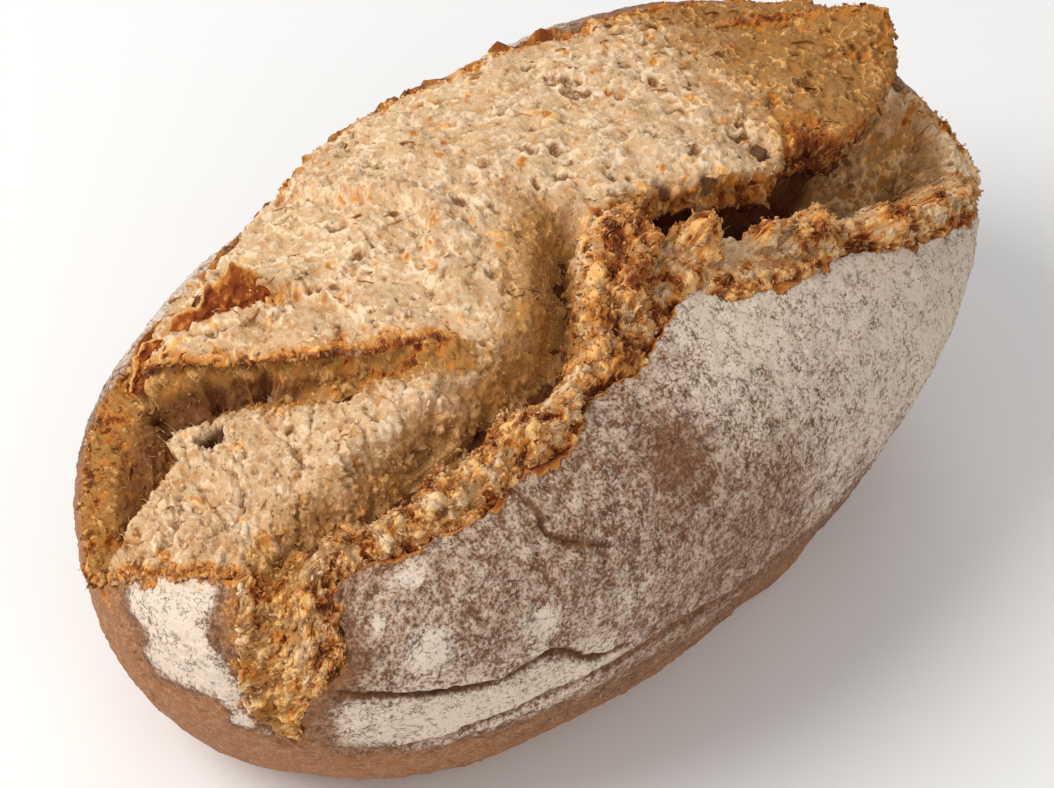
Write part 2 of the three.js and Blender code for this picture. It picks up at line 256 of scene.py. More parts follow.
# Upper edge of the near crust wall. Sizes: width and crest height of the torn band behind it.
NEAR_RIM = Edge(
    (-122, -30, 44, 2, 0), (-125, -33, 57, 5, 1), (-120, -38, 67, 7, 2), (-117, -36, 74, 7, 2.5),
    (-113, -30, 82, 7, 2.5), (-101, -36, 85, 8, 2), (-90, -41, 87, 9, 2), (-79, -45, 89, 10, 2),
    (-71, -44, 91, 10, 2.5), (-62, -46, 92, 11, 3), (-54, -48, 93, 9, 2), (-43, -44, 96, 6, 1),
    (-28, -46, 96, 7, 2), (-15, -43, 98, 8, 2), (0, -41, 99, 9, 2), (6, -48, 96, 8, 0.5),
    (27, -53, 93, 8, 1), (45, -55, 90, 7, 1), (58, -60, 86, 8, 1), (78, -62, 79, 7, 1.5),
    (102, -58, 69, 6, 1.5), (115, -51, 67, 4, 1), (118, -40, 76, 3, 1), (117, -28, 81, 3, 0),
)

# Deepest line of the burst. Sizes: depth, half width of its floor, run up to the rim and run up to the dome.
VALLEY = Edge(
    (-108, -22, 88, 4, 1, 4, 12), (-89, -29, 93, 8, 1, 4, 16), (-66, -32, 97, 9, 1, 4, 16),
    (-44, -34, 99, 12, 1.5, 4, 14), (-31, -29, 101, 13, 1.5, 2.5, 9), (-17, -17, 104, 10, 1, 2.5, 7),
    (-1, -11, 105, 7, 1, 2.5, 5), (10, -20, 104, 15, 2, 4, 5), (22, -32, 101, 20, 3, 4, 9),
    (38, -40, 98, 22, 4, 4, 8), (58, -43, 94, 24, 5, 4, 8), (80, -45, 88, 25, 8, 5, 8),
    (98, -42, 84, 21, 9, 5, 7), (109, -37, 81, 10, 5, 4, 6), (115, -30, 81, 2, 2, 3, 4),
)

# A tower of torn crumb that leans back from the rim. Sizes: height above the hull and half width.
TOWER = Edge((-31, -42, 97, 2, 8), (-21, -36, 100, 4.5, 9), (-11, -28, 102, 6, 8.5), (-3, -23, 103, 8, 7))

# Lip of the back-left crust and of the first plate. Sizes: reach and depth of the hollow under it, overhang.
LEFT_LIP = Edge(
    (-131, 18, 60, 2, 3, 0), (-127, 28, 66, 11, 10, 1), (-117, 38, 71, 22, 13, 2),
    (-101, 47, 76, 31, 15, 2), (-92, 46, 82, 25, 16, 3), (-87, 36, 90, 14, 15, 4),
    (-82, 24, 96, 9, 12, 4), (-77, 13, 98, 6, 9, 3), (-69, 3, 100, 5, 6, 2), (-61, -5, 102, 4, 3, 1),
    (-54, -12, 102, 3, 0, 0),
)

# Edge of the crust plate on the near end. Size: step onto the plate.
END_PLATE = Edge(
    (-131, 17, 64, 0), (-132, 10, 71, 1.5), (-130, 2, 76, 2), (-125, -10, 80, 2), (-127, -16, 76, 2),
    (-131, -20, 66, 2), (-131, -21, 54, 1.5), (-128, -27, 45, 0),
)

# Crack between the end plate and the near wall. Sizes: depth and half width.
END_CRACK = Edge(
    (-113, -17, 86, 1.5, 4), (-120, -20, 80, 2.5, 4), (-125, -23, 75, 3, 4), (-128, -26, 66, 3, 4),
    (-129, -28, 58, 2.5, 4), (-127, -29, 46, 1, 3),
)

# Step from the first plate up to the dome. Size: its height.
PLATE_STEP = Edge(
    (-33, 56, 89, 0), (-31, 48, 94, 2.5), (-30, 36, 99, 3.5), (-24, 18, 103, 3.5), (-37, 5, 104, 3),
    (-45, -4, 104, 1.5), (-50, -11, 103, 0),
)

# A raised shard on the first plate. Size: its height.
SHARD = Edge(
    (-88, 44, 85, 0), (-79, 45, 88, 1.5), (-72, 39, 93, 2.5), (-67, 31, 97, 4), (-62, 25, 99, 4),
    (-58, 21, 100, 0),
)

# Free edge of the dome over the deep valley, rising to the ear at the far end. Sizes: lift, overhang and
# height of the torn face under the edge.
DOME_EDGE = Edge(
    (-8, -11, 105, 0, 0, 1), (5, -14, 105, 1, 1, 4), (15, -17, 104, 2, 2, 7), (25, -22, 103, 2.5, 3, 9),
    (38, -27, 101, 2.5, 4, 10), (47, -30, 100, 3, 4, 10), (55, -27, 100, 3, 3, 10),
    (63, -30, 98, 3, 4, 10), (72, -33, 96, 3, 4, 10), (90, -29, 92, 4, 4, 11), (105, -23, 88, 7, 4, 13),
    (117, -13, 85, 12, 5, 14), (121, -1, 82, 8, 4, 10), (118, 12, 82, 4, 3, 5), (110, 26, 80, 0, 0, 1),
)

# Torn back edge of the burst. Sizes: height of its lip, and drop to the crust behind it.
BACK_LIP = Edge(
    (-100, 47, 77, 0, 0), (-84, 48, 85, 1.5, 2), (-68, 50, 88, 1.5, 3), (-48, 52, 91, 1.5, 4),
    (-27, 57, 90, 0.5, 6), (1, 61, 87, 2, 4), (38, 49, 94, 2.5, 4), (60, 42, 95, 2.5, 4),
    (84, 32, 94, 2, 3), (104, 28, 86, 1, 1), (112, 24, 80, 0, 0),
)

# Where the two crumb skins meet: along the step, and down to the near rim. Size: how deep one dives under
# the other.
SEAM = Edge(
    (-34, 66, 80, 3), (-33, 56, 89, 3), (-31, 48, 94, 3), (-30, 36, 99, 3), (-24, 18, 103, 3),
    (-37, 5, 104, 3), (-45, -4, 104, 2), (-50, -11, 103, 1), (-48, -24, 101, 1), (-44, -36, 98, 1),
    (-43, -50, 93, 1),
)

# Cracks in the floured wall. Sizes: depth and half width.
LONG_CRACK = Edge(
    (-121, -37, 61, 0.6, 0.5), (-118, -42, 60, 1.4, 0.8), (-104, -53, 58, 1.5, 0.8),
    (-92, -61, 57, 1.3, 0.7), (-80, -66, 60, 1.5, 0.8), (-69, -69, 52, 1.4, 0.7),
    (-60, -71, 50, 0.3, 0.5),
)
SHORT_CRACK = Edge(
    (-73, -46, 91, 0.4, 0.4), (-71, -51, 88, 1.0, 0.6), (-73, -56, 85, 1.1, 0.6),
    (-68, -60, 81, 1.0, 0.6), (-62, -64, 78, 0.2, 0.4),
)
BASE_CREASE = Edge(
    (-112, -44, 37, 0.3, 1.0), (-104, -51, 38, 0.9, 1.3), (-86, -61, 42, 0.9, 1.3),
    (-68, -68, 44, 0.8, 1.2), (-42, -74, 46, 0.8, 1.2), (-13, -76, 42, 0.6, 1.2),
    (10, -77, 38, 0.2, 1.0),
)

# The browned fold along the top of the ear. Sizes: height and half width.
EAR_FOLD = Edge((88, 16, 95, 0.2, 2), (98, 9, 94, 1.6, 3), (108, 0, 93, 2.0, 3.4), (117, -11, 88, 2.0, 3.2))

# Lumps of torn crumb along the near rim: place, radius and height.
LUMPS = (
    ((-62, -40, 94), 6, 4.0), ((-49, -42, 95), 4, 3.0), ((0, -38, 100), 5, 3.5),
    ((10, -34, 101), 5, 9.0), ((24, -43, 98), 3.5, 8.0), ((31, -46, 96), 4, 6.5),
    ((38, -47, 95), 4, 9.0), ((58, -55, 88), 5, 8.5), ((65, -57, 86), 3.5, 6.0),
    ((-84, -36, 91), 5, 3.0), ((-95, -34, 89), 5, 1.5), ((-30, -43, 97), 5, 2.5),
    ((84, -56, 81), 5, 2.5), ((98, -54, 77), 4, 2.5), ((-76, -40, 93), 5, 2.0),
)

# Holes that go in under the crumb, darkened with painted shade: place, radius and depth.
HOLES = (
    ((-90, 27, 92), 3.0, 6), ((-84, 17, 96), 3.0, 6), ((-101, 17, 91), 3.5, 6),
    ((-124, 20, 77), 3.0, 7), ((-127, 16, 74), 2.5, 6), ((-61, -32, 97), 4.0, 5),
    ((-41, -35, 99), 3.0, 6), ((-61, 45, 93), 2.6, 4), ((16, 18, 104), 2.2, 2.2),
    ((11, 10, 105), 1.3, 2.4), ((12, -8, 105), 2.0, 2.4), ((20, -17, 104), 2.6, 3.0),
    ((26, -1, 105), 2.6, 1.8), ((3, 2, 105), 3.6, 1.4), ((-12, 14, 105), 2.0, 1.6),
    ((33, 12, 103), 2.2, 1.2), ((30, -22, 103), 2.6, 3.0), ((48, -24, 101), 3.0, 3.0),
    ((-98, -14, 91), 1.6, 2.0), ((-109, -2, 88), 1.6, 2.0), ((-78, -12, 97), 2.2, 2.5),
    ((-70, -22, 97), 2.2, 2.5), ((70, -10, 100), 2.0, 1.5),
)

# Where flour lies on the crust, added up: place, radius and amount.
FLOUR = (
    ((40, -62, 88), 34, 0.26), ((78, -66, 70), 34, 0.30), ((0, -52, 96), 15, 0.28),
    ((-20, -62, 84), 14, 0.10), ((-34, -63, 85), 9, -0.22), ((-20, -74, 60), 20, -0.06),
    ((20, -76, 60), 18, 0.08), ((-116, -42, 52), 9, 0.40), ((-104, -51, 46), 11, 0.45),
    ((-88, -60, 46), 11, 0.40), ((-70, -66, 48), 9, 0.25), ((-101, -41, 82), 1.9, 1.0),
    ((-105, -51, 70), 3.6, 0.8), ((-82, -63, 69), 3.0, 0.7), ((-111, -41, 76), 1.2, 0.9),
    ((-84, -66, 62), 2.2, 0.5), ((-60, -68, 66), 5.0, 0.15), ((-133, 4, 70), 7, 0.9),
    ((-130, -5, 76), 6, 0.9), ((-134, -5, 66), 8, 1.0), ((-133, -13, 59), 6, 0.9),
    ((-134, -2, 55), 6, 0.7), ((-131, -18, 54), 4, 0.8), ((-131, -21, 46), 3.4, 0.9),
    ((-128, -26, 44), 2.4, 0.6),
)

# No torn tip stands above this height.
TOP = 112.9

# Where the near end fades into the loaf, and where the dome's free edge begins, as two places in x.
NEAR_END = (-122, -112)
DOME_START = (-12, 4)

# The heights between which the burst runs out on the near end.
BURST_FOOT = (34, 46)

# The sunken mound of crumb: how far it sinks, its lumps' height and size, and where it fades, in x.
MOUND = {"sink": 4.5, "swell": 2.0, "size": 22.0, "fade": (-70, -44), "end": (-128, -108), "rise": 9.0}

# How far behind an edge its lift dies away, and how wide the torn face in front of an edge is.
SETTLE = {"step": 20.0, "shard": 6.0, "dome": 20.0, "back": 30.0}
FACE = {"step": 2.6, "shard": 2.2, "lip": 1.8, "band": 2.5}


# ---- Levels of the surface over the hull, in millimetres along the hull's normal ----

class EdgeMap:
    """Distances to every torn edge, worked out once on a lattice of the hull and read between its points."""

    def __init__(self, rings, rows):
        self.rows = rows
        self.stations = ring_stations(rings, (-HALF_LENGTH, HALF_LENGTH))
        angles = np.linspace(0, 2 * math.pi, rows + 1)
        points = hull(self.stations[:, None], np.tile(angles, (rings + 1, 1))).reshape(-1, 3)
        normals = outward(points)
        shape = (rings + 1, rows + 1, -1)
        self.tables = {}
        for name, (edge, _) in TORN_EDGES.items():
            distance, sizes, left = edge.near(points, normals)
            columns = [distance[:, None], np.abs(distance)[:, None], sizes.T, left]
            self.tables[name] = np.hstack(columns).astype(np.float32).reshape(shape)

    def read(self, t, angle):
        """Distance, sizes and left way of each edge, at t along and an angle round."""
        ring = np.interp(t, self.stations, np.arange(len(self.stations)))
        row = angle / (2 * math.pi) * self.rows
        i = np.minimum(ring.astype(int), len(self.stations) - 2)
        j = np.clip(row.astype(int), 0, self.rows - 1)
        u, v = (ring - i)[:, None], (row - j)[:, None]
        found = {}
        for name, table in self.tables.items():
            low = blend(table[i, j], table[i, j + 1], v)
            high = blend(table[i + 1, j], table[i + 1, j + 1], v)
            values = blend(low, high, u)
            signed, away = values[:, 0], values[:, 1]
            distance = np.sign(signed) * blend(np.abs(signed), away, ramp(away, 1.5, 3))
            found[name] = (distance, values[:, 2:-3].T, values[:, -3:])
        return found


def read_lines(points, t, angle):
    """The edges' distances at places of the hull, made ragged by noise."""
    jag = 1.2 * GRAIN.rough(points, 9) + 0.7 * GRAIN_FINE.rough(points, 2.8, 2)
    lines = {}
    for name, (distance, sizes, left) in EDGE_MAP.read(t, angle).items():
        lines[name] = (distance + TORN_EDGES[name][1] * jag, sizes, left)
    return lines


def at_near_end(x):
    return 1 - ramp(x, *NEAR_END)


def before_dome(x):
    """1 where the valley is open, left of the dome's free edge, and 0 under the dome."""
    return 1 - ramp(x, *DOME_START)


def burst_share(points, lines, grow=0.0):
    """1 in the burst and 0 on the crust round it, with the border moved outwards by grow."""
    x, y, z = points.T
    past_rim = ramp(lines["rim"][0], -0.5 - grow, 0.5 - grow)
    before_back = 1 - ramp(lines["back"][0], -0.5 + grow, 0.8 + grow)
    by_lip = ramp(y, 6, 14) * (1 - ramp(z, 76, 84)) * (1 - ramp(x, -80, -60))
    inside_lip = 1 - by_lip * ramp(lines["lip"][0], 0.5 + grow, 2 + grow)
    under_belly = ramp(z, *BURST_FOOT)
    beyond_dome = ramp(x, 40, 60) * (1 - ramp(lines["dome"][0], -1.5 - grow, -0.5 - grow))
    valley = lines["valley"][0]
    in_cavity = 1 - ramp(np.where(valley < 0, -0.55 * valley, 0.68 * valley), 10 + grow, 14 + grow)
    off_plate = 1 - at_near_end(x) * (1 - ramp(lines["plate"][0], -0.5 - grow, 0.5 - grow))
    share = past_rim * before_back * inside_lip * under_belly * np.maximum(1 - beyond_dome, in_cavity)
    return share * off_plate


def valley_level(points, lines, undercut=0.0):
    distance, (depth, floor, rim_run, dome_run), _ = lines["valley"]
    away = np.abs(distance)
    dome_side = distance >= 0
    run = np.where(dome_side, dome_run, rim_run)
    floor = floor + np.where(dome_side, undercut, 0)
    return -depth * (1 - ramp(away, floor, floor + run))


def hollow_level(points, lines):
    """The hollow under the left lip, and the sunken mound of crumb beyond it."""
    distance, (reach, hollow, _), _ = lines["lip"]
    inside = -distance
    x = points[:, 0]
    mound_share = 1 - ramp(x, *MOUND["fade"])
    off_end = ramp(x, *MOUND["end"])
    swell = GRAIN.swell(points + 40, MOUND["size"]) + 0.5 * GRAIN.rough(points, 9, 3)
    slits = bell(GRAIN_CRUST.swell(stretched(points + 57, (0.75, 0.6, 0.2), 1.8), 11), 0.06)
    mound = mound_share * off_end * (MOUND["swell"] * swell - MOUND["sink"] - 1.4 * slits)
    furrows = GRAIN.ridge(stretched(points + 13, (0.4, -0.1, 1.0), 3.0), 5.0, 3, 0.6)
    mound = mound + (1 - ramp(x, -122, -108)) * 2.2 * (furrows - 0.4)
    hollowed = -hollow * ramp(inside, 0, reach)
    torn = inside + 3.0 * GRAIN.rough(points + 27, 7, 3) * mound_share
    hollowed = hollowed + 1.2 * GRAIN.swell(points + 3, 6) * ramp(inside, 1, 4)
    below = blend(hollowed, mound, ramp(torn, reach - 1, reach - 1 + MOUND["rise"]))
    level = np.where(inside > 0, below, 0)
    gap, (crack_depth, crack_half), _ = lines["crack"]
    return level - crack_depth * bell(gap, crack_half)


def spots_level(points, spots, ragged):
    """The most that any of the spots adds at a place. Each spot is a place, a radius and a height."""
    most = np.zeros(len(points))
    for place, radius, height in spots:
        gap = np.linalg.norm(points - np.array(place), axis=1) + 0.5 * radius * ragged
        most = np.maximum(most, height * (1 - ramp(gap, 0.35 * radius, 1.25 * radius)))
    return most


def plates_level(points, lines):
    """Steps, shards and lifted edges of the crumb plates."""
    distance, (height,), _ = lines["step"]
    crag = GRAIN.rough(points + 61, 6, 3)
    broken = ramp(crag, -0.35, 0.15)
    rise = height * (0.45 + 0.55 * broken)
    level = rise * ramp(distance, 1 - FACE["step"], 1) * np.exp(-np.maximum(0, distance) / SETTLE["step"])
    level = level - 0.25 * rise * bell(distance + 2.5, 2.5)
    distance, (height,), _ = lines["shard"]
    behind = np.maximum(0, distance)
    level = level + height * ramp(distance, 0.5 - FACE["shard"], 0.5) * bell(behind, SETTLE["shard"])
    level = level - 0.12 * height * bell(distance + 3, 3)
    distance, (lift, _, _), _ = lines["dome"]
    ahead = np.maximum(0, distance)
    level = level + lift * ramp(distance, 0.5 - FACE["lip"], 0.5) * bell(ahead, SETTLE["dome"])
    distance, (fold, half), _ = lines["fold"]
    return level + fold * (bell(distance, half) - 0.8 * bell(distance - 2.2 * half, half))


def torn_level(points, lines, level):
    """The leaning tower, the torn band behind the rim and its lumps, laid over the level below them."""
    crag = GRAIN.rough(points, 6.5, 2) + 0.25 * GRAIN_FINE.rough(points, 2.2, 2)
    spikes = GRAIN_FINE.ridge(points + 23, 4.0, 2, 0.4) - 0.4
    distance_tower, (height, half_tower), _ = lines["tower"]
    on_tower = 1 - ramp(np.abs(distance_tower) + 1.8 * crag, 0.72 * half_tower, half_tower)
    level = blend(level, np.minimum(height * 1.05 + 4.0 * crag + 1.6 * spikes, 6.6), on_tower)
    distance, (width, crest), _ = lines["rim"]
    on_band = 1 - ramp(distance, width - 1, width - 1 + FACE["band"])
    band = crest * ramp(distance, 0, 0.7 * width) * (0.6 + 1.4 * crag + 0.8 * spikes)
    behind = ramp(distance, -3, 0)
    level = blend(level, band, on_band * behind)
    lumps = spots_level(points, LUMPS, crag)
    on_lump = ramp(lumps, 0.2, 1.2) * ramp(distance, 0.3, 2)
    craggy = np.minimum(lumps * (1.0 + 0.3 * crag) + 1.6 * crag + 1.5 * spikes, 10)
    level = blend(level, np.maximum(level, craggy), on_lump)
    beside_tower = 1 - ramp(np.abs(distance_tower) + 1.8 * crag, half_tower, half_tower + 2.5)
    return level, highest(beside_tower, on_band, on_lump)


def crust_level(points, lines):
    distance, (lip, drop), _ = lines["back"]
    outside = np.maximum(0, distance)
    wave = 0.9 * GRAIN.swell(points + 90, 38) + 0.5 * GRAIN_CRUST.rough(points, 13)
    behind = -drop * ramp(outside, 0, 4) * np.exp(-outside / SETTLE["back"])
    distance_plate, (step,), _ = lines["plate"]
    on_plate = at_near_end(points[:, 0]) * bell(distance_plate, 4)
    torn_lip = lip * (0.7 + 1.6 * GRAIN.rough(points + 3, 9, 3))
    level = wave + behind + torn_lip * bell(distance, 3) - 0.5 * step * on_plate
    for name in ("long_crack", "short_crack", "base_crease"):
        gap, (depth, half), _ = lines[name]
        level = level - depth * bell(gap, half) + 0.35 * depth * bell(np.abs(gap) - 2.2 * half, half)
    return level


def floor_level(points, lines):
    """The lowest torn surface, which every other skin stays above or dives under."""
    level, torn = torn_level(points, lines, hollow_level(points, lines) + valley_level(points, lines, 4.0))
    return level, torn


def lip_slide(lines):
    """The left lip slides over its hollow, and the slide dies away behind the edge."""
    distance, (_, _, overhang), left = lines["lip"]
    share = ramp(distance, 0.5 - FACE["lip"], 0.5) * (1 - ramp(distance, 2, 16))
    return -(1.4 * overhang * share)[:, None] * left


def dive(distance, start, steps=((0, 2, 0.6), (2, 14, 5))):
    """How deep a skin sinks past its own border, under the skin that takes over."""
    return sum(depth * ramp(distance, start + low, start + high) for low, high, depth in steps)


# ---- Skins ----

def crust_border(points):
    """Distance past the line where the near crust meets the rest, positive towards the back."""
    return points[:, 1] + 30 - 8 * ramp(points[:, 2], 45, 80)


def crust_skin(points, lines, is_near):
    border = crust_border(points)
    inside = burst_share(points, lines, -0.3)
    floor, _ = floor_level(points, lines)
    level = crust_level(points, lines)
    level = blend(level, np.minimum(floor, 0) - 15, inside)
    level = level - dive(border if is_near else -border, 0)
    x, y, z = points.T
    bare = 0.6 + 1.8 * ramp(GRAIN.rough(points, 8), 0.05, 0.5) + 1.0 * bell(x + 63, 5)
    bare = bare + 0.5 * GRAIN_FINE.rough(points + 8, 2.2, 2)
    bare = np.maximum(bare, 0.3)
    rim_edge = (1 - ramp(np.abs(lines["rim"][0]), 0.4 * bare, 1.6 * bare)) * ramp(z, *BURST_FOOT)
    lip_edge = bell(lines["lip"][0], 2.6) * (1 - ramp(x, -92, -84)) * ramp(y, 6, 14)
    back_edge = (0.6 + 0.9 * GRAIN.rough(points + 3, 9, 3)) * bell(lines["back"][0], 2.5)
    plate_edge = (0.45 + 0.5 * GRAIN.rough(points, 7)) * bell(lines["plate"][0], 3.5) * at_near_end(x)
    broken = 0.45 + 0.55 * ramp(GRAIN_CRUST.rough(points + 43, 5, 3), -0.3, 0.2)
    edge = highest(rim_edge, lip_edge, back_edge, plate_edge) * broken
    gaps = [bell(lines[name][0], 1.2 * lines[name][1][1]) for name in ("long_crack", "short_crack")]
    crack = highest(*gaps, 0.5 * bell(lines["base_crease"][0], 1.6))
    # deep marks the crust inside the burst, which dives under the crumb and is painted dark there as painted
    # shade.
    return level, lip_slide(lines), {"edge": edge, "deep": inside, "crack": crack}


def swollen(points, level):
    """The level of the crumb with its soft lumps and holes, and how deep the holes are; that depth sets the
    painted shade in them.
    """
    level = level + 1.5 * GRAIN.swell(points + 7, 13) + 0.8 * GRAIN.swell(points - 7, 7)
    hole = spots_level(points, HOLES, GRAIN_FINE.rough(points, 3, 2))
    return level - hole, hole


def step_finish(points, lines, share, shift):
    """How torn and browned the edge of the step between the plates is."""
    broken = ramp(GRAIN.rough(points + 61, 6, 3), -0.1, 0.3)
    distance, (height,), _ = lines["step"]
    return share * broken * bell(distance + shift, 1.0) * ramp(height, 0.8, 2.5)


def near_crust(points, lines):
    return crust_skin(points, lines, True)


def back_crust(points, lines):
    return crust_skin(points, lines, False)


def left_crumb(points, lines):
    """The first plate, the hollow under its lip and the mound."""
    x = points[:, 0]
    level = hollow_level(points, lines) + valley_level(points, lines) + plates_level(points, lines)
    level, hole = swollen(points, level)
    out = 1 - burst_share(points, lines, 0.5)
    floor, _ = floor_level(points, lines)
    level = blend(level, np.minimum(level, floor) - 9, ramp(lines["seam"][0], 3, 12))
    level = level - dive(lines["seam"][0], 1.0)
    behind_back = 12 * out * ramp(lines["back"][0], 0.5, 4)
    level = level - dive(-lines["valley"][0], 1.0, ((0, 2, 3), (2, 8, 8))) - 4 * out - behind_back
    distance, (height,), _ = lines["shard"]
    shard_edge = bell(distance + 1.0, 1.5) * ramp(height, 2.5, 6)
    lip_distance = lines["lip"][0]
    lip_edge = bell(lip_distance - 0.2, 1.5) + 0.45 * bell(lip_distance - 2.5, 3.0)
    step_edge = step_finish(points, lines, 0.45, 0.6)
    edge = highest(0.85 * lip_edge, shard_edge, step_edge) * (1 - out)
    reach = lines["lip"][1][0]
    under_lip = ramp(-lip_distance, 0.3, 2.0) * (1 - ramp(-lip_distance, 0.5 * reach, 1.3 * reach + 3))
    # Painted shade: the holes and the low crumb under the lip are darkened.
    deep = np.maximum(ramp(hole, 0.8, 3.5), 0.7 * under_lip * ramp(-level, 2, 8))
    hollow = (1 - ramp(-lip_distance, reach, reach + 9)) * ramp(-lip_distance, 0, 2)
    at_end = (1 - ramp(x, -121, -109)) * (1 - ramp(np.abs(lines["crack"][0]), 6, 11))
    crag = GRAIN.rough(stretched(points + 19, (0.4, -0.1, 1.0), 2.0), 5, 3)
    end_edge = (1 - out) * at_end * (0.1 + 0.9 * crag)
    plate_edge = 0.7 * (bell(lines["plate"][0] - 1, 1.5) * at_near_end(x))
    # The hollow under the lip is browned, partly toast and partly painted shade.
    hollow_edge = (1 - out) * hollow * (0.06 + 0.6 * crag) * (1 - ramp(x, -80, -66))
    edge = highest(edge, end_edge, plate_edge, hollow_edge)
    # Tan in the hollow is partly the crumb's colour and partly painted shade.
    by_valley = 0.6 * ramp(-lines["valley"][0], -20, -5)
    tan = highest(hollow, by_valley, 0.15 * (1 - ramp(x, -64, -48)) + 0.55 * at_end)
    # More painted shade at the bottom of the hollow.
    deep = np.maximum(deep, 0.85 * hollow * ramp(-level, 9, 14))
    web = 1 - ramp(lip_distance, -3, 0) * ramp(x, -100, -90)
    web = np.clip(web * (0.75 + 0.8 * GRAIN.rough(points + 87, 12)), 0, 1)
    seen = (1 - out) * (1 - ramp(lines["seam"][0], -1.5, 0)) * (1 - ramp(-lines["valley"][0], 0.5, 2))
    inside = -lip_distance
    by_lip = 1 - ramp(x, -62, -54)
    finish = {
        "edge": edge, "deep": deep, "web": web, "tan": tan, "rugged": np.maximum(hollow, at_end),
        "hair_from": seen * by_lip * bell(inside - 0.3 * reach, 0.25 * reach + 0.5),
        "hair_to": seen * by_lip * bell(inside - reach - 3, 3.5) * ramp(inside, 2, 4),
        "bits": seen * (0.8 * np.clip(edge, 0, 1) + 0.15 * web) * (1 - 0.7 * at_end),
        "flaky": seen * (1 - ramp(np.clip(edge, 0, 1), 0.3, 0.6)) * (1 - 0.6 * web),
    }
    return level, lip_slide(lines), finish


def right_crumb(points, lines):
    """The dome, whose free edge hangs over the deep valley with a torn face below it."""
    x, y, _ = points.T
    by_valley = before_dome(x)
    level = valley_level(points, lines) * by_valley + plates_level(points, lines)
    level, hole = swollen(points, level)
    floor, _ = floor_level(points, lines)
    out = 1 - burst_share(points, lines, 0.5)
    under_plate = ramp(-lines["seam"][0], 0, 3)
    level = blend(level, np.minimum(level, hollow_level(points, lines) - 1), under_plate)
    level = level - dive(-lines["seam"][0], 0.0) - 4 * out * by_valley
    level = level - by_valley * dive(-lines["valley"][0], 1.0, ((0, 2, 3), (2, 8, 8)))
    distance, (_, overhang, face), left = lines["dome"]
    free = ramp(x, -14, 2)
    past = -distance
    crag = GRAIN.rough(points + 19, 5, 3)
    on_face = free * ramp(past, -2.5, 3.5)
    level = level - on_face * face * (0.75 + 0.5 * crag)
    gone = free * ramp(past, 3.6, 9)
    level = blend(level, np.minimum(level, floor) - 7 - 14 * ramp(past, 8, 20), gone)
    level = level - 5 * out * (1 - by_valley) * ramp(lines["back"][0], 0, 2)
    level = level - 10 * out * ramp(lines["back"][0], 1, 4)
    behind = ramp(distance, -1, 0.5) * (1 - ramp(distance, 2, 16))
    slide = free * (12 * ramp(past, 2.6, 9) * (1 - ramp(past, 16, 42)) - 0.6 * overhang * behind)
    back_edge = (0.55 + 0.7 * crag) * bell(lines["back"][0], 3.0)
    # A dark red-brown patch on the dome's edge near x 64, partly toast and partly painted shade for hollows
    # there.
    dark_hollow_patch = bell(np.hypot(x - 64, y + 27), 7)
    face_edge = free * ramp(past, -2.8, 0.4) * (0.45 + 0.9 * crag + 0.3 * bell(x - 66, 12))
    face_edge = face_edge + 0.9 * free * dark_hollow_patch
    fold_edge = 0.9 * bell(lines["fold"][0], 0.9 * np.maximum(0.5, lines["fold"][1][1])) * ramp(x, 84, 96)
    step_edge = step_finish(points, lines, 0.5, -0.4)
    flank = ramp(x, 92, 104) * (1 - ramp(distance, 2, 13)) * (0.3 + 0.6 * crag)
    edge = highest(face_edge, back_edge, fold_edge, step_edge, flank)
    # Painted shade: darker past the dome's free edge, under its overhang, and in the holes.
    deep = np.maximum(free * ramp(past, 0.5, 4.5), 0.8 * ramp(hole, 0.9, 2.6))
    web = by_valley * ramp(-lines["valley"][0], -26, -8)
    tan = 0.7 * ramp(-lines["valley"][0], -24, -6) * by_valley
    # Tanner on the torn face under the free edge, partly its own colour and partly painted shade.
    tan = highest(tan, 0.8 * ramp(x - 0.4 * y, 35, 95), 0.7 * free * ramp(past, -4, 2))
    seen = (1 - out) * ramp(lines["seam"][0], 0, 1.5) * (1 - by_valley * ramp(-lines["valley"][0], 0.5, 2))
    seen = seen * (1 - free * ramp(past, 2, 4))
    finish = {
        "edge": edge, "deep": deep, "web": web, "tan": tan, "rugged": on_face,
        "hair_from": seen * free * bell(past + 0.5, 1.5) * (1 - ramp(x, 20, 60)),
        "hair_to": np.zeros(len(points)),
        "bits": seen * np.clip(edge, 0, 1),
        "flaky": seen * (1 - ramp(np.clip(edge, 0, 1), 0.5, 0.8)) * (0.5 + 0.8 * ramp(x, 20, 90)),
    }
    return level, slide[:, None] * left, finish


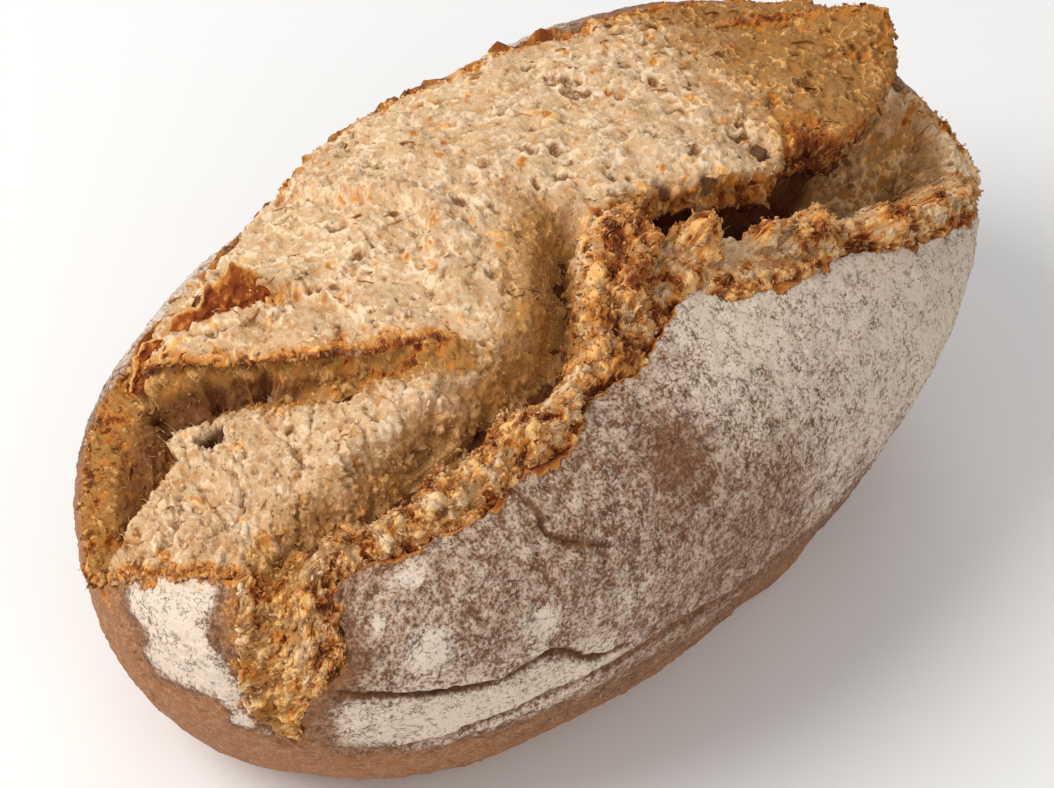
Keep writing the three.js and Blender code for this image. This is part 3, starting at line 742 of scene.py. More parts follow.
def torn_crumb(points, lines):
    """The torn band behind the near rim, the tower and the deep valley."""
    level, torn = floor_level(points, lines)
    x = points[:, 0]
    by_valley = before_dome(x)
    level = level - by_valley * dive(lines["valley"][0], 0.5, ((0, 4, 1.2), (4, 14, 5))) * (1 - torn)
    under_dome = (1 - by_valley) * dive(lines["dome"][0], 8, ((0, 6, 6), (4, 14, 10)))
    out = 1 - burst_share(points, lines, 0.2)
    level = level - under_dome - 3 * out
    far_wall = ramp(x, 62, 84)
    # Painted shade: the low places of the burst darken, away from the torn band and the far wall.
    deep = ramp(-level, 3, 11) * (1 - torn) * (1 - far_wall)
    rim = lines["rim"][0]
    crag = GRAIN.rough(points + 53, 5, 3)
    spikes = GRAIN_FINE.ridge(points + 23, 3.4, 3, 0.6) - 0.4
    crust_side = bell(rim - 0.5, 1.6)
    high = ramp(level, 1, 8)
    # Toast on the torn band is lighter on the spikes' ridges, a painted highlight, and heavier where the band
    # stands high.
    edge = torn * (0.28 + 0.9 * crag - 0.8 * spikes + 0.35 * high) + 0.4 * crust_side
    edge = edge + 0.3 * torn * (1 - ramp(np.abs(lines["tower"][0]), 3, 8))
    # Tanner where the surface is low, partly the crumb's own colour and partly painted shade.
    tan = np.maximum(0.35 * torn, (0.9 - 0.4 * far_wall) * ramp(-level, 1, 5))
    # Painted shade under the dome's free edge.
    under_edge = (1 - by_valley) * (1 - torn) * ramp(lines["dome"][0], -7, -2) * (1 - 0.6 * far_wall)
    deep = np.maximum(deep, 0.8 * under_edge)
    web = np.zeros(len(points))
    end_wall = (1 - ramp(x, -118, -108)) * (1 - ramp(np.abs(lines["crack"][0]), 5, 9))
    edge = np.maximum(edge, end_wall * (0.1 + 0.8 * crag))
    tan = np.maximum(tan, 0.6 * end_wall)
    seen = (1 - out) * np.maximum(torn, end_wall) * (1 - under_edge)
    rugged = highest(torn, end_wall, ramp(-level, 2, 5)) * (1 - 0.6 * far_wall * (1 - torn))
    finish = {
        "edge": edge, "deep": deep, "web": web, "tan": tan, "rugged": rugged,
        "hair_from": seen * bell(rim - 0.8 * lines["rim"][1][0], 1.5) * (1 - ramp(x, 40, 70)),
        "hair_to": np.zeros(len(points)),
        "bits": 2.0 * seen * (0.35 + 0.4 * np.clip(edge, 0, 1)) * (1 - 0.7 * end_wall),
        "flaky": 0.5 * seen * (1 - ramp(x, -95, -80)) + 0.3 * torn,
    }
    return level, np.zeros_like(points), finish


TORN_EDGES = {
    "rim": (NEAR_RIM, 1.0), "valley": (VALLEY, 1.2), "tower": (TOWER, 0.9), "lip": (LEFT_LIP, 0.9),
    "plate": (END_PLATE, 0.8), "crack": (END_CRACK, 0.8), "step": (PLATE_STEP, 1.4), "shard": (SHARD, 0.6),
    "dome": (DOME_EDGE, 1.2), "back": (BACK_LIP, 1.0), "seam": (SEAM, 1.4), "long_crack": (LONG_CRACK, 0.8),
    "short_crack": (SHORT_CRACK, 0.8), "base_crease": (BASE_CREASE, 0.5), "fold": (EAR_FOLD, 0.7),
}


def foot_spread(points):
    along = bell(points[:, 0] - FOOT["x"], FOOT["length"])
    low = bell(points[:, 2], FOOT["height"])
    return FOOT["spread"] * along * low * ramp(-points[:, 1], 20, 50)


def laid(t, angle, shape):
    """Places on the hull moved by a skin's shape, and what the skin says about its finish there."""
    points = hull(t, angle)
    normals = outward(points)
    lines = read_lines(points, t, angle)
    level, slide, finish = shape(points, lines)
    off_base = ramp(points[:, 2], 0.5, 8)
    moved = points + (level * off_base)[:, None] * normals + off_base[:, None] * slide
    moved[:, 1] -= foot_spread(points)
    moved[:, 2] = np.where(points[:, 2] <= 0, 0, np.maximum(0.2, moved[:, 2]))
    return moved, finish


def spread(run, weight, count):
    """Places along a run, closest together where the weight is high."""
    steps = np.diff(run) * 0.5 * (weight[1:] + weight[:-1])
    share = np.concatenate([[0], np.cumsum(steps)])
    return np.interp(np.linspace(0, share[-1], count + 1), share, np.arange(len(run)))


# Rings and rows outside the part that shows lie this thin against 1 inside it, and get closer over a few mm.
COARSE = 0.09
RING_FADE = 8
ROW_FADE = math.radians(6)

# The loaf's plan, as far as it sets the distance between rings.
PLAN_HALF_WIDTH = 80
PLAN_FULLNESS = 2.3


def ring_stations(rings, span):
    """t of each ring from end to end, close together inside the span of x."""
    t = -np.cos(np.linspace(0, math.pi, 1501))
    half = PLAN_HALF_WIDTH * (1 - np.abs(t) ** PLAN_FULLNESS) ** (1 / PLAN_FULLNESS)
    run = np.concatenate([[0], np.cumsum(np.hypot(np.diff(t) * HALF_LENGTH, np.diff(half)))])
    x = t * HALF_LENGTH
    low, high = span
    shown_part = ramp(x, low - RING_FADE, low) * (1 - ramp(x, high, high + RING_FADE))
    weight = COARSE + (1 - COARSE) * shown_part
    return np.interp(spread(run, weight, rings), np.arange(len(t)), t)


def row_angles(stations, rows, near, back, shape, steep):
    """Angle of each row at each ring, close together between two borders and even over the relief."""
    few = np.append(stations[:-1:5], stations[-1])
    samples = np.linspace(0, 2 * math.pi, 361)
    angles = np.tile(samples, (len(few), 1))
    along = np.repeat(few, len(samples))
    moved = laid(along, angles.ravel(), shape)[0].reshape(len(few), -1, 3)
    run = np.linalg.norm(np.diff(moved, axis=1), axis=-1)
    run = np.hstack([np.zeros((len(few), 1)), np.cumsum(np.minimum(run, steep) + 0.02, axis=1)])
    x = few * HALF_LENGTH
    low = np.radians(np.interp(x, *np.array(near).T))[:, None]
    high = np.radians(np.interp(x, *np.array(back).T))[:, None]
    shown_part = ramp(angles, low - ROW_FADE, low) * (1 - ramp(angles, high, high + ROW_FADE))
    weight = COARSE + (1 - COARSE) * shown_part
    table = np.array([
        np.interp(spread(r, w, rows), np.arange(len(samples)), samples) for r, w in zip(run, weight)
    ])
    kernel = np.ones(5) / 5
    padded = np.pad(table, ((2, 2), (0, 0)), mode="edge")
    table = np.array([np.convolve(column, kernel, "valid") for column in padded.T]).T
    return np.array([np.interp(stations, few, column) for column in table.T]).T


def sphere_mesh(name, rings, rows):
    """A closed sphere of quads, and the ring and row of each of its points.

    A sheet is rolled up: its two sides are joined, and each of its ends is drawn together into one point.
    """
    sheet = bmesh.new()
    bmesh.ops.create_grid(sheet, x_segments=rows, y_segments=rings, size=1)
    border = [vert for vert in sheet.verts if max(abs(vert.co.x), abs(vert.co.y)) > 0.9999]
    for vert in border:
        vert.co.x = -1
    bmesh.ops.remove_doubles(sheet, verts=border, dist=1e-6)
    bmesh.ops.reverse_faces(sheet, faces=sheet.faces)
    mesh = bpy.data.meshes.new(name)
    sheet.to_mesh(mesh)
    sheet.free()
    points = read_points(mesh)
    ring = np.rint((points[:, 1] + 1) / 2 * rings).astype(int)
    row = np.rint((points[:, 0] + 1) / 2 * rows).astype(int) % rows
    return mesh, ring, row


def read_points(mesh):
    points = np.empty(3 * len(mesh.vertices), np.float32)
    mesh.vertices.foreach_get("co", points)
    return points.reshape(-1, 3).astype(float)


def read_normals(mesh):
    normals = np.empty(3 * len(mesh.vertices), np.float32)
    mesh.vertex_normals.foreach_get("vector", normals)
    return normals.reshape(-1, 3).astype(float)


def under_top(points):
    """Tips near the top are pressed down gently, so that none stands above the highest torn crag."""
    z = points[..., 2]
    points[..., 2] = np.where(z > TOP - 1, TOP - 1 + np.tanh(z - TOP + 1), z)
    return points


def write_points(mesh, points):
    mesh.vertices.foreach_set("co", points.astype(np.float32).ravel())
    mesh.update()


def write_finish(mesh, finish):
    for name, values in finish.items():
        attribute = mesh.attributes.new(name, "FLOAT", "POINT")
        attribute.data.foreach_set("value", np.clip(values, 0, 1).astype(np.float32))


def make_skin(name, shape, grit, rings, rows, span, near, back, material, steep=3.0):
    mesh, ring, row = sphere_mesh(name, rings, rows)
    stations = ring_stations(rings, span)
    angles = row_angles(stations, rows, near, back, shape, steep)
    t = stations[ring]
    t[ring == 0] = -1
    t[ring == rings] = 1
    moved, finish = laid(t, angles[ring, row], shape)
    write_points(mesh, moved)
    offset, painted = grit(moved, read_normals(mesh), finish)
    off_base = ramp(moved[:, 2], 0.0, 6)
    moved = moved + (offset * off_base)[:, None] * read_normals(mesh)
    moved[:, 2] = np.maximum(0, moved[:, 2])
    moved = under_top(moved)
    write_points(mesh, (moved + TO_ORIGIN) * MM)
    write_finish(mesh, painted)
    place_piece(name, mesh, material)
    return {**finish, **painted, "points": moved, "normals": read_normals(mesh)}


def place_piece(name, mesh, material):
    mesh.shade_smooth()
    mesh.materials.append(material)
    piece = bpy.data.objects.new(name, mesh)
    bpy.context.scene.collection.objects.link(piece)
    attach(piece, "root")
    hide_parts("loaf")


# ---- Grit: fine relief along each skin's own normals ----

def stretched(points, direction, times):
    """Points pressed together along a direction, so that noise read there runs in strands along it."""
    way = np.array(direction) / np.linalg.norm(direction)
    return points - (1 - 1 / times) * (points @ way)[:, None] * way


def bubbles(points, size, noise):
    """Torn bubbles: how far a place is inside one, and how near it is to a thin torn rim."""
    value = noise.rough(points, size, 3, 0.6)
    return ramp(value, 0.2, 0.42), bell(value - 0.15, 0.07)


def flakes(points, size, noise):
    """Thin flakes that overlap like shingles: the height at a place, and how near it is to a torn edge."""
    value = 2.6 * noise.rough(points, size, 3, 0.5)
    share = value - np.floor(value)
    return share * (1 - ramp(share, 0.88, 1.0)), bell(share - 0.9, 0.11)


def crumb_grit(points, normals, finish):
    """Torn crumb: a net of thin raised webs round small pits, torn bubbles, strands and toasted tips, with
    painted shade in pits and recesses and painted highlights on webs and crag tops.
    """
    edge, web, deep = np.clip(finish["edge"], 0, 1.2), finish["web"], finish["deep"]
    bent = points + 0.7 * np.stack([GRAIN.swell(points + 17 * k, 2.6) for k in range(3)], axis=-1)
    swirl = bent + 4.0 * np.stack([GRAIN.swell(points + 29 * k, 12) for k in range(3)], axis=-1)
    net = GRAIN.ridge(bent, 3.6, 3, 0.65)
    fine = GRAIN_FINE.ridge(bent + 9, 1.5, 2, 0.6)
    grains = GRAIN_CRUST.rough(points, 1.1, 2)
    big, big_rim = bubbles(points + 5, 8.0, GRAIN)
    small, small_rim = bubbles(points + 11, 3.2, GRAIN_FINE)
    flake, flake_edge = flakes(bent, 15.0, GRAIN_CRUST)
    strands = GRAIN.ridge(stretched(swirl, (0.84, 0.55, -0.1), 1.6), 2.0, 3, 0.7)
    runs = GRAIN_FINE.ridge(stretched(swirl, (-0.1, 1.0, -0.25), 2.0), 1.8, 3, 0.7)
    strand = blend(runs, strands, 1 - ramp(points[:, 0], -70, -45))
    patch = ramp(GRAIN_CRUST.rough(points + 31, 9, 3), -0.25, 0.25)
    plain = 1 - 0.6 * web
    pitted = plain * (0.35 * big_rim - big * patch) + 0.2 * small_rim - 0.45 * small - 0.8 * web * big
    webs = plain * 0.7 * (net - 0.35) + web * (strand - 0.35)
    ragged = np.clip(edge, 0, 1) * (0.9 * GRAIN_FINE.rough(points + 3, 2.0, 3, 0.7) + 0.8 * (fine - 0.35))
    crags = GRAIN_FINE.rough(stretched(points + 51, (0, 0, 1), 1.7), 4.5, 4, 0.65)
    ragged = ragged + finish["rugged"] * (2.2 * crags + 0.7 * (net - 0.35))
    flaky = 1.3 * (flake - 0.4) * (0.35 + 0.65 * patch)
    offset = (pitted + webs + flaky + 0.45 * (fine - 0.35) + 0.26 * grains + ragged) * (1 - 0.4 * deep)
    # Pale on raised webs, bubble rims and strands, partly the webs' own colour and partly painted highlight;
    # the pit mask darkens bubbles, pits and the recesses between webs as painted shade.
    pale = plain * np.maximum(0.8 * net, big_rim) + 0.65 * web * strand + 0.35 * (fine - 0.3)
    pit = 1.3 * plain * big * patch + 0.7 * small + 0.8 * (0.36 - np.maximum(net * plain, strand * web))
    # Toast spots on bubble rims, inside torn bubbles and on flake edges; inside the bubbles they are partly
    # painted shade.
    speckled = ramp(GRAIN_CRUST.rough(points + 71, 5, 3), 0.02, 0.4)
    tips = speckled * highest(0.8 * big_rim, 0.9 * big * patch, flake_edge)
    mottled = 0.75 + 0.8 * GRAIN.rough(points + 77, 4.5, 3)
    toast = edge * mottled + 0.6 * tips * (1 - 0.4 * web)
    # On rugged crumb the recesses between crags are browned and darkened as painted shade, and the crag tops
    # are paled as painted highlights.
    toast = toast + finish["rugged"] * (0.8 * ramp(-crags, 0.0, 0.35) - 0.1) * (1 - deep)
    deep = np.maximum(deep, 0.6 * finish["rugged"] * ramp(-crags, 0.2, 0.5))
    pale = pale + 0.5 * finish["rugged"] * ramp(crags, 0.05, 0.35)
    return offset, {"toast": toast, "deep": deep, "pale": pale, "pit": pit, "tan": finish["tan"]}


def crust_grit(points, normals, finish):
    """Baked crust: low wrinkles, cakes of flour, short fissures and ragged torn edges."""
    edge = np.clip(finish["edge"], 0, 1)
    ragged = 0.35 * GRAIN_FINE.rough(points + 15, 3, 3)
    flour = flour_share(points) * (1 - ramp(edge + ragged, 0.2, 0.5)) * (1 - 0.9 * finish["crack"])
    cake = ramp(GRAIN_CRUST.rough(points, 3.2, 3) + 1.4 * flour, 0.5, 0.8)
    wrinkle = 0.6 * GRAIN_FINE.rough(points, 4.5, 3) + 0.35 * GRAIN.rough(points, 1.7, 2)
    first, second = GRAIN_CRUST.cells(points + 0.9 * ragged[:, None], 5.5)
    fissure = bell(second - first, 0.07) * ramp(GRAIN_CRUST.rough(points + 5, 7, 2), 0.05, 0.3)
    outside = 1 - np.clip(finish["deep"], 0, 1)
    offset = outside * (wrinkle + 0.22 * cake - 0.35 * fissure)
    offset = offset + edge * (0.9 * GRAIN_FINE.rough(points, 2.4, 3, 0.6) + 0.7 * GRAIN.rough(points, 6))
    pit = np.maximum(0.7 * fissure, finish["crack"])
    toast = edge * (0.8 + 0.8 * GRAIN.rough(points + 77, 4, 3))
    return offset, {"toast": toast, "deep": finish["deep"], "pale": cake, "pit": pit, "flour": flour}


def flour_share(points):
    """How thickly flour lies on the crust at a place, from 0 to 1."""
    x, y, z = points.T
    wall = ramp(-y, 14, 40) * ramp(z, 30, 44) * ramp(x, -126, -112)
    low = ramp(-y, 14, 40) * ramp(z, 16, 26) * (1 - wall) * ramp(x, -100, -60)
    back = ramp(y, 30, 60) * ramp(z, 20, 45) * ramp(x, -128, -100)
    far = ramp(x, 112, 128) * ramp(z, 20, 45)
    amount = 0.42 * wall + 0.22 * low + np.maximum(0.55 * back, 0.4 * far * (1 - wall)) + 0.10
    ragged = GRAIN_FINE.rough(points + 33, 7, 4, 0.6)
    for place, radius, more in FLOUR:
        gap = np.linalg.norm(points - np.array(place), axis=1) + 0.35 * radius * ragged
        amount = amount + more * bell(gap, radius)
    return np.clip(amount, 0, 1)


# ---- Small pieces: crumbs, fibres and flakes along the torn edges ----

SHOWN = ("points", "normals", "toast", "deep", "tan", "web", "bits", "flaky", "hair_from", "hair_to")
TOWARDS_CAMERA = np.array([-0.836, -0.549, 0.0])

# Of the fibres this share may bridge the hollow, each choosing the nearest of so many places beyond it.
BRIDGING = 0.22
FAR_ENDS = 40


def gather(skins):
    """The torn skins' places and finishes well above the base, joined end to end."""
    torn = [skin for skin in skins if "bits" in skin]
    joined = {name: np.concatenate([skin[name] for skin in torn]) for name in SHOWN}
    high = joined["points"][:, 2] > BURST_FOOT[0]
    return {name: values[high] for name, values in joined.items()}


def pick(draw, weight, count):
    return draw.choice(len(weight), size=count, p=weight / weight.sum())


def copies_of(shape, doublings):
    """A mesh of many copies of one small shape, all still in one place, and that shape's own points."""
    own = np.array([vert.co for vert in shape.verts])
    for _ in range(doublings):
        bmesh.ops.duplicate(shape, geom=[*shape.verts, *shape.edges, *shape.faces])
    mesh = bpy.data.meshes.new("copies")
    shape.to_mesh(mesh)
    shape.free()
    return mesh, own


def crumb_shape():
    shape = bmesh.new()
    bmesh.ops.create_icosphere(shape, subdivisions=1, radius=1)
    return shape


def fibre_shape():
    """A thin rod along z from 0 to 1, in five lengths."""
    shape = bmesh.new()
    place = Matrix.Translation((0, 0, 0.5))
    bmesh.ops.create_cone(shape, cap_ends=True, segments=3, radius1=1, radius2=1, depth=1, matrix=place)
    upright = [edge for edge in shape.edges if abs(edge.verts[0].co.z - edge.verts[1].co.z) > 0.5]
    bmesh.ops.subdivide_edges(shape, edges=upright, cuts=4, use_grid_fill=True)
    return shape


def sheet_shape(wide, deep):
    """A thin closed sheet over -1 to 1 both ways, its upper side at z = 0 and its underside at z = -1."""
    shape = bmesh.new()
    bmesh.ops.create_grid(shape, x_segments=wide, y_segments=deep, size=1)
    bmesh.ops.solidify(shape, geom=shape.faces[:], thickness=1)
    bmesh.ops.recalc_face_normals(shape, faces=shape.faces)
    return shape


def write_pieces(name, mesh, places, finish):
    """Writes every copy's points, and the finish of each copy or of each of its points."""
    write_points(mesh, (under_top(places.reshape(-1, 3)) + TO_ORIGIN) * MM)
    flat = {key: np.broadcast_to(value, places.shape[:2]).ravel() for key, value in finish.items()}
    write_finish(mesh, flat)
    mesh.name = name
    place_piece(name, mesh, CRUMB)


def make_crumbs(shown, doublings):
    """Angular crumbs that stand on the torn edges."""
    draw = np.random.default_rng(31)
    mesh, own = copies_of(crumb_shape(), doublings)
    count = 2**doublings
    chosen = pick(draw, shown["bits"], count)
    turn = unit(draw.normal(size=(count, 3, 3)))
    turn[:, 0] *= np.sign(np.linalg.det(turn))[:, None]
    size = draw.uniform(0.15, 0.6, size=(count, 1, 1)) * draw.uniform(0.5, 1.5, size=(count, 1, 3))
    jagged = draw.uniform(0.45, 1.35, size=(count, len(own), 1))
    lumps = np.einsum("cni,cij->cnj", own * size * jagged, turn)
    seat = shown["points"][chosen] + draw.uniform(0.0, 0.3, size=(count, 1)) * shown["normals"][chosen]
    toast = shown["toast"][chosen] + draw.uniform(-0.3, 0.25, size=count)
    # Crumbs keep part of the painted shade of the place where they sit.
    finish = {
        "toast": toast[:, None], "deep": 0.7 * shown["deep"][chosen][:, None],
        "tan": shown["tan"][chosen][:, None], "pale": draw.uniform(0.1, 0.9, size=(count, 1)), "pit": 0.0,
    }
    write_pieces("loaf_torn_crumbs", mesh, seat[:, None, :] + lumps, finish)


def make_fibres(shown, doublings):
    """Fine dry strands: some bridge the hollow under the lip, and the rest are a fuzz on the torn crumb."""
    draw = np.random.default_rng(32)
    mesh, own = copies_of(fibre_shape(), doublings)
    count = 2**doublings
    points, normals = shown["points"], shown["normals"]
    from_lip = draw.uniform(size=count) < BRIDGING
    fuzzy = 0.3 * shown["bits"] + 0.5 * shown["web"] * (shown["flaky"] > 0)
    start = np.where(from_lip, pick(draw, shown["hair_from"], count), pick(draw, fuzzy, count))
    ends = pick(draw, shown["hair_to"], FAR_ENDS * count).reshape(count, FAR_ENDS)
    gaps = np.linalg.norm(points[ends] - points[start][:, None], axis=-1)
    end = ends[np.arange(count), gaps.argmin(axis=1)]
    bridges = (gaps.min(axis=1) < draw.uniform(3, 10, size=count)) & from_lip
    loose_way = unit(0.55 * normals[start] + 0.9 * TOWARDS_CAMERA * draw.normal(size=(count, 1))
                     + 0.6 * draw.normal(size=(count, 3)))
    tip = points[start] + draw.uniform(0.6, 2.8, size=(count, 1)) * loose_way
    first = points[start] - 0.3 * normals[start]
    last = np.where(bridges[:, None], points[end] - 0.3 * normals[end], tip)
    run = last - first
    side = unit(np.cross(run, draw.normal(size=(count, 3))))
    up = unit(np.cross(run, side))
    along = own[:, 2][None, :, None]
    bow = draw.normal(size=(count, 1, 3)) * 0.07 * np.linalg.norm(run, axis=1)[:, None, None]
    centre = first[:, None] + run[:, None] * along + 4 * along * (1 - along) * bow
    thin = np.where(bridges[:, None, None], 0.5 + 0.5 * np.abs(2 * along - 1), 1.1 - 0.85 * along)
    radius = draw.uniform(0.04, 0.12, size=(count, 1, 1)) * thin
    ring = own[None, :, :1] * side[:, None] + own[None, :, 1:2] * up[:, None]
    finish = {
        "toast": (0.5 * shown["toast"][start] - 0.1)[:, None], "deep": 0.0, "pit": 0.0,
        "tan": 0.3 + 0.3 * shown["tan"][start][:, None], "pale": draw.uniform(0.3, 1.0, size=(count, 1)),
    }
    write_pieces("loaf_torn_fibres", mesh, centre + radius * ring, finish)


def flake_places(own, seat, across, ahead, normal, sizes, draw):
    """Points of curled flakes. Sizes: half width, reach, rise and thickness of each."""
    half, reach, rise, thick = (size[:, None, None] for size in sizes)
    u, v, w = own[None, :, :1], 0.5 + 0.5 * own[None, :, 1:2], own[None, :, 2:]
    count = len(seat)
    skew = draw.normal(size=(count, 1, 1)) * 0.5
    bite = draw.uniform(0, 6, size=(count, 1, 1))
    wavy = 1 + 0.3 * np.sin(5 * u + bite) + 0.2 * np.sin(11 * u + 3 * bite)
    outline = (1 - 0.6 * (u - skew) ** 2) * wavy
    forward = reach * v * outline
    lift = rise * v**1.4 * outline - 0.6 * (1 - v) - 0.15 * half * u**2
    down = w * thick * (1 - 0.7 * v)
    return (
        seat[:, None] + half * u * (1 - 0.3 * v**2) * across[:, None] + forward * ahead[:, None]
        + (lift + down) * normal[:, None]
    )


def make_flakes(name, seed, shown, weight, doublings, widths, reaches, rises, browning):
    """Small torn flakes that lift off the crumb, most of them open towards the near wall and the near end."""
    draw = np.random.default_rng(seed)
    mesh, own = copies_of(sheet_shape(5, 2), doublings)
    count = 2**doublings
    chosen = pick(draw, weight, count)
    normal = unit(outward(shown["points"][chosen]) + 0.35 * shown["normals"][chosen])
    ahead = TOWARDS_CAMERA + 0.6 * draw.normal(size=(count, 3))
    ahead = unit(ahead - dot(ahead, normal)[:, None] * normal)
    across = np.cross(ahead, normal)
    sizes = [draw.uniform(*span, size=count) for span in (widths, reaches, rises, (0.35, 0.8))]
    places = flake_places(own, shown["points"][chosen], across, ahead, normal, sizes, draw)
    v, w = 0.5 + 0.5 * own[None, :, 1], own[None, :, 2]
    browned = draw.uniform(*browning, size=(count, 1))
    # Painted shade on each flake's underside, which also gets no pale; the tips are toasted.
    finish = {
        "toast": browned * ramp(v, 0.2, 1.0) + 0.5 * shown["toast"][chosen][:, None], "deep": -0.2 * w,
        "tan": 0.3 + 0.6 * shown["tan"][chosen][:, None], "pale": (0.8 - 0.35 * v) * (1 + w), "pit": 0.0,
    }
    write_pieces(name, mesh, places, finish)


SHARDS = (
    # The tall shard on the first plate, and its low tail. Stops: x, y, z and height.
    ((-85, 43, 87, 1.5), (-81, 41, 89, 3.5), (-77, 38, 92, 4.5), (-73, 35, 94, 7.0), (-70, 32, 96, 9.0),
     (-67, 30, 97, 9.0), (-65, 29, 98, 4.0)),
    ((-98, 41, 83, 0.6), (-92, 43, 85, 2.6), (-87, 43, 86, 3.4), (-81, 42, 88, 1.6)),
)


def make_shards():
    """Raised torn shards: thin ragged sheets that stand on a curved foot and lean back."""
    for k, stops in enumerate(SHARDS):
        mesh, own = copies_of(sheet_shape(72, 24), 0)
        foot = Edge(*stops)
        u, v, w = (own[:, 0] + 1) / 2, (own[:, 1] + 1) / 2, own[:, 2]
        steps = np.linspace(0, 1, len(foot.points))
        base = np.stack([np.interp(u, steps, values) for values in foot.points.T], axis=-1)
        height = np.interp(u, steps, foot.sizes[:, 0])
        run = unit(foot.points[-1] - foot.points[0])
        normal = outward(base)
        back = unit(np.cross(np.tile(run, (len(own), 1)), normal))
        back = back * -np.sign(dot(back, TOWARDS_CAMERA))[:, None]
        ragged = GRAIN_FINE.rough(base + 5 * k, 4, 3, 0.7)
        torn_top = height * (0.95 + 0.35 * ragged) * v + 1.2 * (v - 1)
        lean = 0.5 * torn_top - 1.5 + 2.2 * GRAIN.rough(base + 9 + 6 * v[:, None], 4, 3)
        thick = 1.6 * (1.25 - v) + 0.35
        places = base + torn_top[:, None] * normal + (lean - thick * w)[:, None] * back
        crag = GRAIN_FINE.rough(places, 2.2, 3, 0.7)
        places = places + (0.9 * crag)[:, None] * back
        # The face is toasted, lighter along its torn top as a painted highlight and darker towards its foot
        # as painted shade; the back is pale crumb.
        face = w > -0.5
        toast = np.where(face, 0.78 + 0.6 * crag - 0.35 * ramp(v, 0.8, 1.0), 0.2 * v + 0.3 * crag)
        finish = {
            "toast": toast[None], "deep": np.where(face, 0.35 * (1 - v), 0.0)[None], "tan": 0.5,
            "pale": np.where(face, 0.25 + 0.4 * crag + 0.5 * ramp(v, 0.85, 1.0), 0.9)[None], "pit": 0.0,
        }
        write_pieces(f"loaf_shard_{k + 1}", mesh, places[None], finish)


# ---- Materials ----

def colour(red, green, blue):
    """A colour given as it looks on a screen, 0 to 255, in the linear light that shaders use."""
    return tuple(pow((value / 255 + 0.055) / 1.055, 2.4) for value in (red, green, blue)) + (1.0,)


class Wire:
    """A number socket with Python's arithmetic. Each operation adds a Math node."""

    def __init__(self, paint, socket):
        self.paint = paint
        self.socket = socket

    def _maths(self, operation, *values):
        inputs = {k: value for k, value in enumerate(values)}
        return self.paint.node("ShaderNodeMath", {"operation": operation}, inputs)

    def __add__(self, other):
        return self._maths("ADD", self, other)

    def __radd__(self, other):
        return self._maths("ADD", other, self)

    def __sub__(self, other):
        return self._maths("SUBTRACT", self, other)

    def __rsub__(self, other):
        return self._maths("SUBTRACT", other, self)

    def __mul__(self, other):
        return self._maths("MULTIPLY", self, other)

    def __rmul__(self, other):
        return self._maths("MULTIPLY", other, self)

    def larger(self, other):
        return self._maths("MAXIMUM", self, other)

    def between(self, low, high):
        """0 up to one value, 1 from the other on, and smooth between them."""
        settings = {"interpolation_type": "SMOOTHSTEP", "clamp": True}
        inputs = {"Value": self, "From Min": low, "From Max": high}
        return self.paint.node("ShaderNodeMapRange", settings, inputs)


class Paint:
    """Builds one material's nodes."""

    def __init__(self, name):
        self.material = bpy.data.materials.new(name)
        self.material.use_nodes = True
        self.tree = self.material.node_tree
        self.tree.nodes.clear()
        self.place = self.node("ShaderNodeTexCoord", {}, {}, "Object")

    def node(self, kind, settings, inputs, output=0):
        """Adds a node: its settings first, then the values or links of its sockets. Gives one output."""
        made = self.tree.nodes.new(kind)
        for name, value in settings.items():
            setattr(made, name, value)
        for name, value in inputs.items():
            socket = made.inputs[name]
            if isinstance(value, Wire):
                self.tree.links.new(value.socket, socket)
            else:
                socket.default_value = value
        return Wire(self, made.outputs[output])

    def attribute(self, name):
        return self.node("ShaderNodeAttribute", {"attribute_name": name}, {}, "Fac")

    def noise(self, size_mm, detail, roughness=0.55):
        inputs = {"Vector": self.place, "Scale": 1000 / size_mm, "Detail": detail, "Roughness": roughness}
        return self.node("ShaderNodeTexNoise", {}, inputs, "Fac")

    def cells(self, size_mm, feature="DISTANCE_TO_EDGE", place=None):
        inputs = {"Vector": place or self.place, "Scale": 1000 / size_mm}
        return self.node("ShaderNodeTexVoronoi", {"feature": feature}, inputs, "Distance")

    def bent(self, size_mm, amount_mm):
        """The place, pushed about by noise so that a pattern read there isn't regular."""
        kind = "ShaderNodeVectorMath"
        push = self.node("ShaderNodeTexNoise", {}, {"Vector": self.place, "Scale": 1000 / size_mm}, "Color")
        push = self.node(kind, {"operation": "SUBTRACT"}, {0: push, 1: (0.5, 0.5, 0.5)})
        push = self.node(kind, {"operation": "SCALE"}, {0: push, "Scale": 2 * amount_mm * MM})
        return self.node(kind, {"operation": "ADD"}, {0: self.place, 1: push})

    def mix(self, first, second, share):
        """A colour between two, by a share."""
        made = self.tree.nodes.new("ShaderNodeMix")
        made.data_type = "RGBA"
        for socket, value in ((made.inputs[0], share), (made.inputs[6], first), (made.inputs[7], second)):
            if isinstance(value, Wire):
                self.tree.links.new(value.socket, socket)
            else:
                socket.default_value = value
        return Wire(self, made.outputs[2])

    def bump(self, height, strength, distance_mm):
        inputs = {"Height": height, "Strength": strength, "Distance": distance_mm * MM}
        return self.node("ShaderNodeBump", {}, inputs)

    def finish(self, inputs, constants):
        shader = self.node("ShaderNodeBsdfPrincipled", {}, {**constants, **inputs}, "BSDF")
        output = self.tree.nodes.new("ShaderNodeOutputMaterial")
        self.tree.links.new(shader.socket, output.inputs["Surface"])
        return self.material


